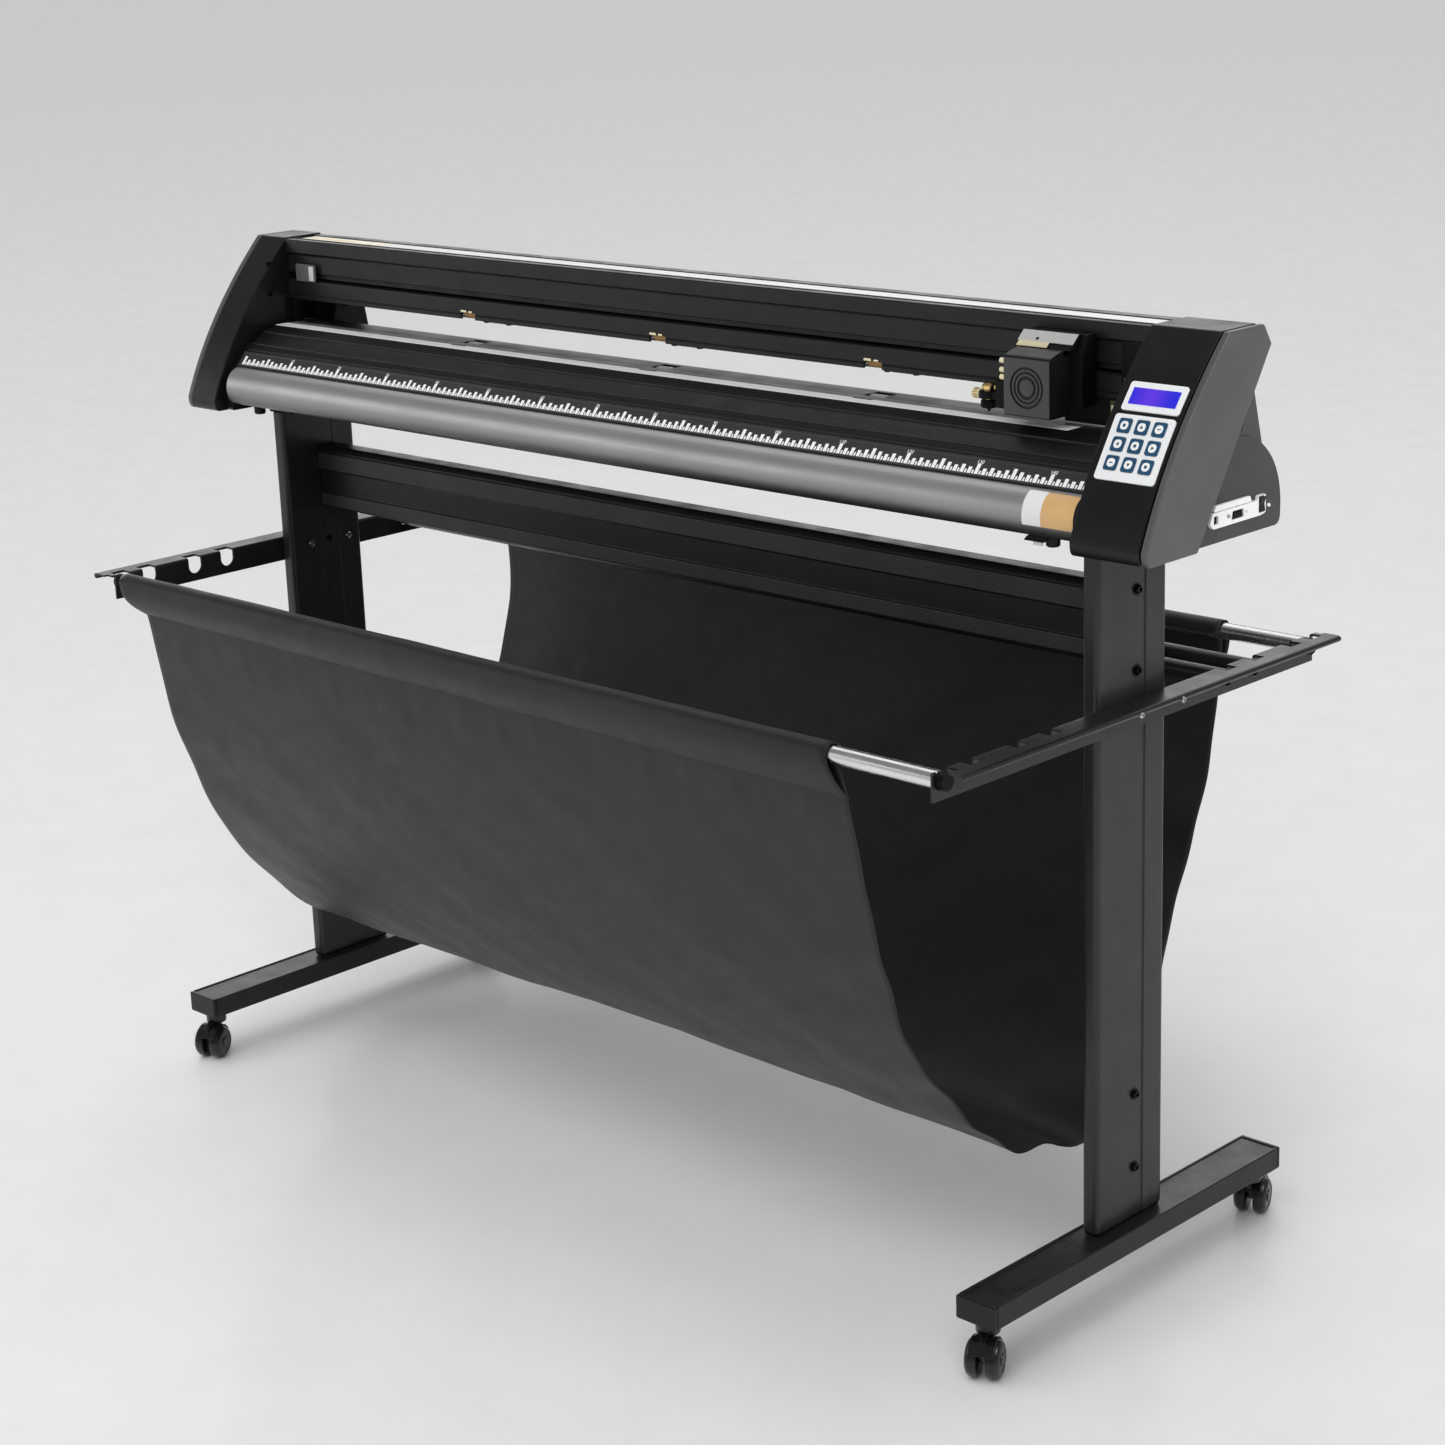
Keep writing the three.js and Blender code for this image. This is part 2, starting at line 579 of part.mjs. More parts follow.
function liftShaft() {
  let body = rod("x", LIFT_R, [-740, 714], [LIFT_Y, LIFT_Z], 16);
  const lever = polygon([
    [LIFT_Y - 6, LIFT_Z - 4], [LIFT_Y + 4, LIFT_Z - 6], [LIFT_Y + 40, LIFT_Z - 20],
    [LIFT_Y + 42, LIFT_Z - 13], [LIFT_Y + 6, LIFT_Z + 6], [LIFT_Y - 6, LIFT_Z + 4],
  ]);
  body = body.add(alongX(lever, LEVER_X));
  return body.add(rod("x", 7, [694, 714], [LIFT_Y + 42, LIFT_Z - 17], 16));
}

// ---------- carriage ----------
function carriageBlock() {
  const side = polygon([
    [12.5, 1028], [12.5, 1105], [-8, 1105], [-22.3, 1091], [-22.3, 1084.3], [-12.3, 1084.3],
    [-12.3, 1028],
  ]);
  const tongue = [12, BELT_Y - PULLEY_R - BELT_T - 2 * GAP];
  const x = [CARRIAGE_X[0] + 24, CARRIAGE_X[0] + 60];
  return alongX(side, CARRIAGE_X).add(box(x, tongue, grow(BELT_Z, -0.5)));
}

function carriageCover() {
  const side = (k) => polygon([
    [-48 + k, 1018 + k], [-48 + k, 1081 - k], [-45 + k, 1083.8 - k], [-22.6 + (k ? -k : 0), 1090 - k],
    [-22.6 + (k ? -k : 0), 1083.8 - k], [-12.6 + (k ? 2 : 0), 1083.8 - k], [-12.6 + (k ? 2 : 0), 1018 + k],
  ]);
  return alongX(side(0), COVER_X).subtract(alongX(side(2.5), grow(COVER_X, -2.5)));
}

function toolSlide() {
  const { x, y } = TOOL;
  let body = box([530, CARRIAGE_X[0] - GAP], [y - 9, y + 11], [1016, 1046]);
  body = body.add(box([x, 532], [y - 6, y + 6], [1024, 1032]));
  body = body.add(rod("z", 11, [1024, 1032], [x, y], 24));
  body = body.subtract(rod("z", 6 + GAP, [1020, 1036], [x, y], 20));
  return body.subtract(rod("x", 2.5 + GAP, [x - 13, x - 4], [y, 1028], 12));
}

function bladeHolder() {
  const profile = [
    [0, 1009], [1, 1009], [3, 1012], [8.5, 1013], [8.5, 1022.6], [6, 1023], [6, 1033], [7.5, 1033.4],
    [7.5, 1039], [5, 1041], [0, 1041],
  ].map(([r, z]) => new THREE.Vector2(r, z));
  const geometry = new THREE.LatheGeometry(profile, 20).rotateX(Math.PI / 2);
  return solid(geometry.translate(TOOL.x, TOOL.y, 0));
}

function clampKnob() {
  const { x, y } = TOOL;
  const body = rod("x", 5.5, [x - 21, x - 12], [y, 1028], 16);
  return body.add(rod("x", 2.5, [x - 13, x - 6.6], [y, 1028], 12));
}

// ---------- carriage drive ----------
function driveBelt() {
  const loop = (r) => {
    const shape = new THREE.Shape();
    shape.absarc(DRIVE_X, BELT_Y, r, -Math.PI / 2, Math.PI / 2, false);
    shape.absarc(IDLER_X, BELT_Y, r, Math.PI / 2, (3 * Math.PI) / 2, false);
    shape.closePath();
    return shape;
  };
  const outside = alongZ(loop(PULLEY_R + GAP + BELT_T), BELT_Z, 8);
  return outside.subtract(alongZ(loop(PULLEY_R + GAP), grow(BELT_Z, 1), 8));
}

function pulley(x, bore) {
  const body = rod("z", PULLEY_R, grow(BELT_Z, 1), [x, BELT_Y], 20);
  return bore ? body.subtract(rod("z", bore, grow(BELT_Z, 2), [x, BELT_Y], 14)) : body;
}

function drivePulley() {
  return pulley(DRIVE_X, 0).add(rod("z", 2.5, [BELT_Z[1], 1079], [DRIVE_X, BELT_Y], 14));
}

function carriageMotor() {
  return box([DRIVE_X - 17, DRIVE_X + 19], [BELT_Y - 14, BELT_Y + 22], [1080, 1106]);
}

// ---------- right side ports ----------
function portPanel() {
  let body = box(PORT.x, PORT.y, PORT.z);
  body = body.subtract(box(grow(PORT.x, 1), grow(SWITCH.y, GAP), grow(SWITCH.z, 3 * GAP)));
  body = body.subtract(box([803, 807], [14, 22], [918, 925]));
  body = body.subtract(rod("x", 4, [803, 807], [36, 921.5], 16));
  return body.subtract(box([803, 807], [46, 66], [917, 927]));
}

// ---------- assembly ----------
const SIDES = { left: -1, right: 1 };
for (const [name, side] of Object.entries(SIDES)) {
  add("foot_" + name, "coat", foot(side));
  add("column_" + name, "coat", column(side));
  add("arm_" + name, "coat", side > 0 ? arm() : arm().rotate([0, 0, 180]));
}
add("crossbeam", "coat", crossbeam());
add("basket_tube_front", "aluminium", tube(-NOTCH_Y[0]));
add("basket_tube_rear", "aluminium", tube(NOTCH_Y[0]));
add("media_rod_outer", "coat", tube(NOTCH_Y[2]));
add("media_rod_inner", "coat", tube(NOTCH_Y[3]));
add("basket_fabric", "fabric", basket());

const CASTERS = {
  front_left: [-FOOT_X, -CASTER_Y, 205],
  front_right: [FOOT_X, -CASTER_Y, 205],
  rear_left: [-FOOT_X, CASTER_Y, 20],
  rear_right: [FOOT_X, CASTER_Y, 20],
};
for (const [name, place] of Object.entries(CASTERS)) {
  add("caster_fork_" + name, "shell", placeCaster(casterFork(), ...place));
  add("caster_wheel_" + name, "rubber", placeCaster(casterWheel(), ...place));
}

add("housing_left", "shell", housingLeft());
add("housing_right", "shell", housingRight());
add("rear_cover_left", "shell", rearCover([-800, PLATEN_X[0] - GAP]));
add("rear_cover_right", "shell", rearCover([RIGHT_IN + 4, 800]));
add("gantry_beam", "coat", beam());
add("platen", "coat", platen());
add("front_apron", "coat", apron());
add("feed_shaft", "steel", feedShaft());
PINCH_X.forEach((x, i) => {
  add("pinch_arm_" + (i + 1), "steel", pinchArm(x));
  add("pinch_roller_" + (i + 1), "tan", pinchRoller(x));
});
add("lift_shaft", "steel", liftShaft());
add("carriage_block", "steel", carriageBlock());
add("carriage_cover", "shell", carriageCover());
add("tool_slide", "steel", toolSlide());
add("blade_holder", "brass", bladeHolder());
add("clamp_knob", "brass", clampKnob());
add("drive_belt", "rubber", driveBelt());
add("drive_pulley", "aluminium", drivePulley());
add("idler_pulley", "aluminium", pulley(IDLER_X, 2 + GAP));
add("carriage_motor", "shell", carriageMotor());
add("feed_motor", "shell", feedMotor());
add("feed_motor_pulley", "aluminium", feedMotorPulley());
add("feed_belt", "rubber", feedBelt());
add("display", "white", display());
add("keypad", "white", keypad());
for (let i = 0; i < 9; i++) add("key_" + (i + 1), "key", key(i, 0));
add("port_panel", "white", portPanel());
add("power_switch", "rubber", box([801.5, 808], SWITCH.y, SWITCH.z));

export default machine;
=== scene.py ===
import math

import bmesh
import bpy
from mathutils import Matrix, Vector


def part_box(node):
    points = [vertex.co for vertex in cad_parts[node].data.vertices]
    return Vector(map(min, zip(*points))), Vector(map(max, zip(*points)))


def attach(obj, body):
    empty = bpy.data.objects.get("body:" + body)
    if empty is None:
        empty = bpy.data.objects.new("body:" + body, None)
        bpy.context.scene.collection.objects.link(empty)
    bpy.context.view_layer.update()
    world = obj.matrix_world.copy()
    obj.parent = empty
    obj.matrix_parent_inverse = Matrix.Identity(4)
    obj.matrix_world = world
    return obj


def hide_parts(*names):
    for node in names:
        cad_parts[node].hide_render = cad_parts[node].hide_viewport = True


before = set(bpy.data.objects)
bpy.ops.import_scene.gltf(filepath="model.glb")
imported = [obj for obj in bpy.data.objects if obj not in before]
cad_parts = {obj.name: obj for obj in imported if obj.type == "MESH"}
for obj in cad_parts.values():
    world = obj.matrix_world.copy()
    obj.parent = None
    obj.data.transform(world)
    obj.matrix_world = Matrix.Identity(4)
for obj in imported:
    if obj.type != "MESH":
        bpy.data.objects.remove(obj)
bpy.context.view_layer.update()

MM = 0.001  # lengths in this script are millimetres, and Blender's are metres
scene = bpy.context.scene


def add_object(name, data):
    """A new object in the scene, from a mesh, a text, a lamp or a camera."""
    obj = bpy.data.objects.new(name, data)
    scene.collection.objects.link(obj)
    return obj


def mesh_of(name, bm):
    """A new mesh from bm, which is freed."""
    mesh = bpy.data.meshes.new(name)
    bm.to_mesh(mesh)
    bm.free()
    return mesh


def seat(at, angle, axis="X"):
    """The placing that turns about an axis through the origin, in radians, then shifts in millimetres."""
    return Matrix.Translation(Vector(at) * MM) @ Matrix.Rotation(angle, 4, axis)


# ---- materials


def shader(name):
    mat = bpy.data.materials.new(name)
    mat.use_nodes = True
    tree = mat.node_tree
    tree.nodes.clear()
    out = tree.nodes.new("ShaderNodeOutputMaterial")
    bsdf = tree.nodes.new("ShaderNodeBsdfPrincipled")
    tree.links.new(bsdf.outputs[0], out.inputs[0])
    return mat, tree, bsdf


def node(tree, kind, inputs=None, **settings):
    """A shader node. Each input is a socket to link from, or a constant."""
    made = tree.nodes.new("ShaderNode" + kind)
    for key, value in settings.items():
        setattr(made, key, value)
    for key, value in (inputs or {}).items():
        if isinstance(value, bpy.types.NodeSocket):
            tree.links.new(value, made.inputs[key])
        else:
            made.inputs[key].default_value = value
    return made


def coords(tree, stretch=(1, 1, 1), uv=False):
    where = node(tree, "TexCoord").outputs["UV" if uv else "Object"]
    return node(tree, "Mapping", {"Vector": where, "Scale": stretch}).outputs[0]


def noise(tree, vector, scale, detail=3.0, rough=0.5):
    return node(tree, "TexNoise", {
        "Vector": vector, "Scale": scale, "Detail": detail, "Roughness": rough,
    }).outputs["Fac"]


def remap(tree, value, low, high, start=0.3, end=0.7):
    return node(tree, "MapRange", {
        "Value": value, "From Min": start, "From Max": end, "To Min": low, "To Max": high,
    }).outputs[0]


DUST = (0.35, 0.35, 0.34, 1)
# Colour of the painted shade at the bottom of a surface that is given painted-shade heights.
PAINTED_SHADE = (0.006, 0.006, 0.007, 1)


def blend_colour(tree, fac, a, b):
    """Colour a where fac is 0, and b where it is 1."""
    return node(tree, "Mix", {0: fac, 6: a, 7: b}, data_type="RGBA").outputs[2]


def toned(colour, k=1):
    """RGBA of a colour or a grey, made k times as light."""
    rgb = [colour] * 3 if isinstance(colour, float) else colour
    return (*(min(1, c * k) for c in rgb), 1)


def surface(name, colour, rough, metal=0.0, grain=1400, bump=0.12, depth=0.05, brushed=None,
            vary=0.18, rough_vary=0.08, dust=0.0, coat=0.0, spec=0.5, painted_shade_heights=None):
    """Moulded, coated or drawn material: blotchy colour, uneven gloss, fine grain and a little dust.

    brushed is the axis that the grain is drawn out along, and the painted-shade heights, in metres, the
    heights between which the colour comes up out of a painted shade, so that the surface is painted darker
    towards the bottom.
    """
    mat, tree, bsdf = shader(name)
    plain = coords(tree)
    stretch = {None: (1, 1, 1), "x": (0.02, 1, 1), "y": (1, 0.02, 1), "z": (1, 1, 0.02)}[brushed]
    fine = coords(tree, stretch)
    light = toned(colour, 1 + vary)
    mottled = blend_colour(tree, remap(tree, noise(tree, plain, 7, 5), 0, 1), toned(colour, 1 - vary), light)
    grains = noise(tree, fine, grain, 2)
    mottled = blend_colour(tree, remap(tree, grains, 0, 0.35), mottled, light)
    if dust:
        specks = remap(tree, noise(tree, plain, 160, 6, 0.7), 0, dust, 0.62, 0.72)
        mottled = blend_colour(tree, specks, mottled, DUST)
    # Painted shade: below the given heights the colour sinks into a dark shade, darker towards the bottom.
    if painted_shade_heights:
        height = node(tree, "SeparateXYZ", {0: plain}).outputs[2]
        mottled = blend_colour(tree, remap(tree, height, 0, 1, *painted_shade_heights), PAINTED_SHADE, mottled)
    tree.links.new(mottled, bsdf.inputs["Base Color"])
    uneven = remap(tree, noise(tree, plain, 24, 5, 0.6), rough - rough_vary, rough + rough_vary)
    if brushed:
        uneven = node(tree, "Math", {0: uneven, 1: remap(tree, grains, -0.05, 0.05)}, operation="ADD")
        uneven = uneven.outputs[0]
    tree.links.new(uneven, bsdf.inputs["Roughness"])
    raised = node(tree, "Bump", {"Strength": bump, "Distance": depth * MM, "Height": grains})
    tree.links.new(raised.outputs[0], bsdf.inputs["Normal"])
    bsdf.inputs["Metallic"].default_value = metal
    bsdf.inputs["Specular IOR Level"].default_value = spec
    bsdf.inputs["Coat Weight"].default_value = coat
    bsdf.inputs["Coat Roughness"].default_value = 0.15
    return mat


def woven(name, colour, pitch, sheen):
    """Plain weave: two sets of threads crossing, a satin face and slow changes of shade."""
    mat, tree, bsdf = shader(name)
    where = coords(tree, uv=True)
    plain = coords(tree)
    threads = []
    for direction in ("X", "Y"):
        wave = node(tree, "TexWave", {
            "Vector": where, "Scale": 0.5 / pitch, "Distortion": 0.6, "Detail": 1.0, "Detail Scale": 3.0,
        }, wave_type="BANDS", bands_direction=direction)
        threads.append(wave.outputs["Fac"])
    height = node(tree, "Math", {0: threads[0], 1: threads[1]}, operation="MULTIPLY").outputs[0]
    pale = toned(colour, 1.5)
    cloth = blend_colour(tree, remap(tree, height, 0, 0.6, 0, 1), toned(colour), pale)
    slow = remap(tree, noise(tree, plain, 1.6, 3, 0.5), 0, 0.4)
    cloth = blend_colour(tree, slow, cloth, pale)
    tree.links.new(cloth, bsdf.inputs["Base Color"])
    fuzz = remap(tree, noise(tree, plain, 40, 3), 0.46, 0.54)
    tree.links.new(fuzz, bsdf.inputs["Roughness"])
    weave = node(tree, "Bump", {"Strength": 0.25, "Distance": 0.2 * MM, "Height": height})
    tree.links.new(weave.outputs[0], bsdf.inputs["Normal"])
    bsdf.inputs["Sheen Weight"].default_value = sheen
    bsdf.inputs["Sheen Roughness"].default_value = 0.4
    return mat


def screen_glass(name):
    """Backlit display: fine cells, violet in the middle and blue towards the ends."""
    middle, near, far = 0.764, 0.004, 0.026  # metres: the glow's middle in X, and where it fades
    violet, blue, gap = (0.13, 0.03, 0.72, 1), (0.015, 0.015, 0.68, 1), (0.01, 0.01, 0.3, 1)
    mat, tree, bsdf = shader(name)
    where = coords(tree)
    cells = node(tree, "TexVoronoi", {"Vector": where, "Scale": 520.0}, feature="F1").outputs["Distance"]
    across = node(tree, "SeparateXYZ", {0: where}).outputs[0]
    off = node(tree, "Math", {0: across, 1: middle}, operation="SUBTRACT").outputs[0]
    off = node(tree, "Math", {0: off}, operation="ABSOLUTE").outputs[0]
    colour = blend_colour(tree, remap(tree, off, 0, 1, near, far), violet, blue)
    colour = blend_colour(tree, remap(tree, cells, 0, 0.3, 0, 0.7), colour, gap)
    tree.links.new(colour, bsdf.inputs["Emission Color"])
    bsdf.inputs["Base Color"].default_value = (0.01, 0.01, 0.12, 1)
    bsdf.inputs["Emission Strength"].default_value = 1.0
    bsdf.inputs["Roughness"].default_value = 0.3
    return mat


M = {
    "coat": surface("powder_coat_black", (0.011, 0.011, 0.012), 0.36, grain=1100, bump=0.2, dust=0.03),
    "extrusion": surface("anodised_black", (0.022, 0.022, 0.024), 0.38, metal=0.25, brushed="z", grain=700,
                         bump=0.08, dust=0.02, coat=0.1),
    "foot": surface("anodised_black_foot", (0.012, 0.012, 0.013), 0.34, metal=0.1, brushed="y", grain=700,
                    bump=0.03, dust=0.02, spec=0.35),
    "beam": surface("anodised_black_beam", (0.01, 0.01, 0.011), 0.38, metal=0.1, brushed="x", grain=700,
                    bump=0.04, dust=0.01, spec=0.35),
    # The apron's colour is painted into shade along its lower part.
    "apron": surface("anodised_grey_apron", (0.49, 0.49, 0.5), 0.42, metal=0.8, brushed="x", grain=600,
                     bump=0.02, vary=0.06, rough_vary=0.03, painted_shade_heights=(0.903, 0.936)),
    "land": surface("stippled_black", (0.022, 0.022, 0.023), 0.45, grain=300, bump=0.8, depth=0.5, vary=0.3),
    "shell": surface("moulded_black", (0.007, 0.007, 0.008), 0.36, grain=1500, bump=0.2, dust=0.01,
                     spec=0.35),
    # The shell's black moulding, painted lighter for the light that falls on the housings' side lids.
    "shell_side": surface("moulded_black_painted_lit", (0.082, 0.082, 0.085), 0.4, grain=1500, bump=0.25, dust=0.02),
    "cover": surface("moulded_cover", (0.04, 0.04, 0.042), 0.38, grain=1500, bump=0.25, dust=0.02),
    "hood": surface("moulded_hood", (0.048, 0.048, 0.05), 0.32, grain=1500, bump=0.2, dust=0.02),
    "dark": surface("moulded_dark", 0.003, 0.55, grain=1200, bump=0.2, spec=0.2),
    "bed": surface("ribbed_black", (0.006, 0.006, 0.007), 0.42, brushed="x", grain=500, bump=0.04,
                   rough_vary=0.04, spec=0.3),
    "ruler": surface("ruler_grey", (0.04, 0.04, 0.042), 0.42, metal=0.2, brushed="x", grain=500, bump=0.03),
    "band": surface("bed_grey", 0.13, 0.45, brushed="x", grain=500, bump=0.02),
    "strip": surface("cutting_strip_white", (0.9, 0.91, 0.92), 0.5, grain=900, bump=0.02, vary=0.04),
    "ink": surface("printed_white", (0.95, 0.96, 0.96), 0.45, vary=0.03, bump=0.02),
    "aluminium": surface("drawn_aluminium", (0.84, 0.85, 0.87), 0.26, metal=1.0, brushed="x", grain=900,
                         bump=0.12, vary=0.06),
    "steel": surface("ground_steel", (0.52, 0.53, 0.55), 0.3, metal=1.0, grain=1400, bump=0.1, vary=0.1),
    "zinc": surface("zinc_plate", (0.72, 0.72, 0.71), 0.42, metal=0.6, grain=400, bump=0.08, vary=0.08),
    "brass": surface("turned_brass", (0.83, 0.58, 0.24), 0.22, metal=1.0, grain=1600, bump=0.1, vary=0.1),
    "gold": surface("pale_gold_foil", (0.9, 0.8, 0.55), 0.36, metal=0.5, grain=500, vary=0.08),
    "cream": surface("cream_plastic", (0.86, 0.78, 0.52), 0.4, vary=0.08, bump=0.02, coat=0.3),
    "tan": surface("tan_rubber", (0.42, 0.24, 0.09), 0.6, grain=900, bump=0.3, vary=0.15),
    "rubber": surface("black_rubber", 0.008, 0.6, grain=800, bump=0.35, dust=0.08),
    "wheel": surface("caster_plastic", 0.005, 0.3, grain=1300, bump=0.15, dust=0.06, coat=0.15),
    "bolt": surface("black_oxide", 0.006, 0.3, metal=0.7, grain=2000, bump=0.1),
    "white": surface("gloss_white", (0.93, 0.95, 0.97), 0.22, grain=900, bump=0.04, vary=0.03, coat=0.5),
    "key": surface("navy_key", (0.014, 0.075, 0.16), 0.38, grain=1400, bump=0.15, coat=0.2),
    "port": surface("silver_panel", (0.93, 0.94, 0.95), 0.34, grain=700, bump=0.06, vary=0.05),
    "paper": surface("label_white", (0.86, 0.86, 0.88), 0.4, vary=0.04, bump=0.02, coat=0.3),
    "print": surface("label_tan", (0.75, 0.46, 0.2), 0.4, vary=0.3, bump=0.02, coat=0.3),
    "board": surface("circuit_green", (0.03, 0.06, 0.02), 0.4, grain=300, bump=0.3, vary=0.5),
    "fabric": woven("woven_black", (0.009, 0.009, 0.0095), 1.1 * MM, sheen=0.04),
    "thread": surface("sewing_thread", (0.012, 0.012, 0.013), 0.7, grain=2500, bump=0.5),
    "screen": screen_glass("display_blue"),
}

# ---- mesh tools


def place(axis, u, v, w):
    """A point from its two coordinates across an axis and the one along it."""
    point = {"x": (w, u, v), "y": (u, w, v), "z": (u, v, w)}[axis]
    return Vector(point) * MM


def prism(outline, span, axis="x", bm=None, mat=0):
    """A closed outline in millimetres, drawn along an axis."""
    bm = bm or bmesh.new()
    low, high = ([bm.verts.new(place(axis, u, v, w)) for u, v in outline] for w in span)
    made = [bm.faces.new(low), bm.faces.new(high[::-1])]
    for i in range(len(outline)):
        j = (i + 1) % len(outline)
        made.append(bm.faces.new((low[j], low[i], high[i], high[j])))
    for face in made:
        face.material_index = mat
    bmesh.ops.recalc_face_normals(bm, faces=made)
    return bm


def block(x, y, z, bm=None, mat=0):
    """A box from its spans in X, Y and Z."""
    return prism([(x[0], y[0]), (x[1], y[0]), (x[1], y[1]), (x[0], y[1])], z, "z", bm, mat)


def fillet(points, radius, steps=5):
    """Rounds an outline's corners. radius is one number, or one per point."""
    radii = radius if isinstance(radius, (list, tuple)) else [radius] * len(points)
    made = []
    for i, point in enumerate(points):
        p, a, b = (Vector(q) for q in (point, points[i - 1], points[(i + 1) % len(points)]))
        to_a, to_b = a - p, b - p
        cut = min(radii[i], to_a.length * 0.48, to_b.length * 0.48)
        if cut < 0.05:
            made.append(tuple(p))
            continue
        made += curve(p + to_a.normalized() * cut, p, p + to_b.normalized() * cut, steps)
    return made


def arc(at, r, start, end, steps):
    """Points round part of a circle, with the angles in degrees."""
    return [(at[0] + r * math.cos(a), at[1] + r * math.sin(a))
            for a in (math.radians(start + (end - start) * k / steps) for k in range(steps + 1))]


def curve(a, b, c, steps):
    """Points along a curve from a to c that is pulled towards b."""
    a, b, c = (Vector(q) for q in (a, b, c))
    return [tuple(a * (1 - t) ** 2 + b * 2 * t * (1 - t) + c * t * t)
            for t in (k / steps for k in range(steps + 1))]


def lathe(profile, axis, at, bm=None, sides=40, mat=0):
    """Turns (radius, along) points in millimetres round an axis; a radius of 0 closes the end."""
    bm = bm or bmesh.new()
    rings, made = [], []
    for r, w in profile:
        if r < 1e-6:
            rings.append([bm.verts.new(place(axis, at[0], at[1], w))])
            continue
        rings.append([
            bm.verts.new(place(axis, at[0] + r * math.cos(a), at[1] + r * math.sin(a), w))
            for a in (2 * math.pi * k / sides for k in range(sides))
        ])
    for one, two in zip(rings, rings[1:]):
        for k in range(sides):
            m = (k + 1) % sides
            if len(one) == 1:
                made.append(bm.faces.new((one[0], two[k], two[m])))
            elif len(two) == 1:
                made.append(bm.faces.new((one[k], two[0], one[m])))
            else:
                made.append(bm.faces.new((one[k], two[k], two[m], one[m])))
    for face in made:
        face.material_index = mat
    bmesh.ops.recalc_face_normals(bm, faces=made)
    return bm


def rod(axis, r, span, at, bm=None, sides=40, mat=0):
    """A round bar with eased ends."""
    low, high = span
    e = min(0.6, r * 0.4, (high - low) * 0.4)
    return lathe([(0, low), (r - e, low), (r, low + e), (r, high - e), (r - e, high), (0, high)],
                 axis, at, bm, sides, mat)


def pipe(axis, r, bore, span, at, bm=None, sides=40):
    """A tube with eased outer rims."""
    low, high = span
    return lathe([(bore, low), (r - 0.5, low), (r, low + 0.5), (r, high - 0.5), (r - 0.5, high),
                  (bore, high), (bore, low)], axis, at, bm, sides)


def socket_screw(axis, at, face, out, r, head, bm=None, mat=0):
    """A button-head screw with a socket. face is where the head sits and out is +1 or -1."""
    profile = [(0, head * 0.4), (r * 0.45, head * 0.4), (r * 0.5, head * 0.95), (r * 0.72, head),
               (r * 0.95, head * 0.55), (r, 0.15), (r, -0.3), (0, -0.3)]
    return lathe([(q, face + out * h) for q, h in profile], axis, at, bm, 24, mat)


def evaluated_mesh(obj):
    """A new mesh of an object as it is with its modifiers, or of a text as it is drawn."""
    bpy.context.view_layer.update()
    return bpy.data.meshes.new_from_object(obj.evaluated_get(bpy.context.evaluated_depsgraph_get()))


def carve(bm, cutter):
    """bm less cutter, as a new bmesh. Both are freed."""
    body, tool = (add_object(name, mesh_of(name, source))
                  for name, source in (("carve_a", bm), ("carve_b", cutter)))
    modifier = body.modifiers.new("cut", "BOOLEAN")
    modifier.object = tool
    modifier.operation = "DIFFERENCE"
    modifier.solver = "EXACT"
    made = bmesh.new()
    made.from_mesh(evaluated_mesh(body))
    bpy.data.objects.remove(body)
    bpy.data.objects.remove(tool)
    return made


def merge(bm, other):
    """Adds other's mesh to bm, and frees other."""
    mesh = mesh_of("merge", other)
    bm.from_mesh(mesh)
    bpy.data.meshes.remove(mesh)
    return bm


def rounded(u, v, radius, steps=5):
    """Outline of a rectangle with round corners, from its two spans."""
    return fillet([(u[0], v[0]), (u[1], v[0]), (u[1], v[1]), (u[0], v[1])], radius, steps)


def finish_edges(obj, width, segments, angle):
    """Smooth shading, with edges past the angle bevelled or, where the width is 0, kept sharp."""
    for polygon in obj.data.polygons:
        polygon.use_smooth = True
    if not width:
        obj.data.set_sharp_from_angle(angle=math.radians(angle))
        return
    soften = obj.modifiers.new("edges", "BEVEL")
    soften.width = width * MM
    soften.segments = segments
    soften.limit_method = "ANGLE"
    soften.angle_limit = math.radians(angle)
    obj.modifiers.new("normals", "WEIGHTED_NORMAL").keep_sharp = True


def piece(name, bm, mats, body="stand", bevel=0.0, segments=3, replaces=None, slot=None, angle=30):
    """A finished object from a bmesh, riding on its body and standing for its CAD node."""
    mesh = mesh_of(name, bm)
    for key in [mats] if isinstance(mats, str) else mats:
        mesh.materials.append(M[key])
    obj = add_object(name, mesh)
    finish_edges(obj, bevel, segments, angle)
    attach(obj, body)
    if replaces:
        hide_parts(replaces)
    return obj


def moved(bm, at, degrees, axis):
    """bm turned about an axis through the origin, then shifted in millimetres."""
    bm.transform(seat(at, math.radians(degrees), axis))
    return bm


# ---- camera

IMAGE, FOCAL = 1445, 2935.76  # the frame's side and the focal length, both in pixels
SENSOR = 36
EYE = (2.55295, -2.49542, 1.6058)
AZIMUTH, ELEVATION, ROLL = (math.radians(a) for a in (44.74, 16.41, -2.05))
ahead = Vector((-math.sin(AZIMUTH) * math.cos(ELEVATION), math.cos(AZIMUTH) * math.cos(ELEVATION),
                -math.sin(ELEVATION)))
right = Vector((math.cos(AZIMUTH), math.sin(AZIMUTH), 0))
up = right.cross(ahead)
right, up = (right * math.cos(ROLL) + up * math.sin(ROLL), up * math.cos(ROLL) - right * math.sin(ROLL))
lens = bpy.data.cameras.new("camera")
lens.sensor_width = SENSOR
lens.lens = FOCAL / IMAGE * SENSOR
camera = add_object("camera", lens)
camera.matrix_world = Matrix([(right[i], up[i], -ahead[i], EYE[i]) for i in range(3)] + [(0, 0, 0, 1)])
scene.camera = camera

# ---- stand

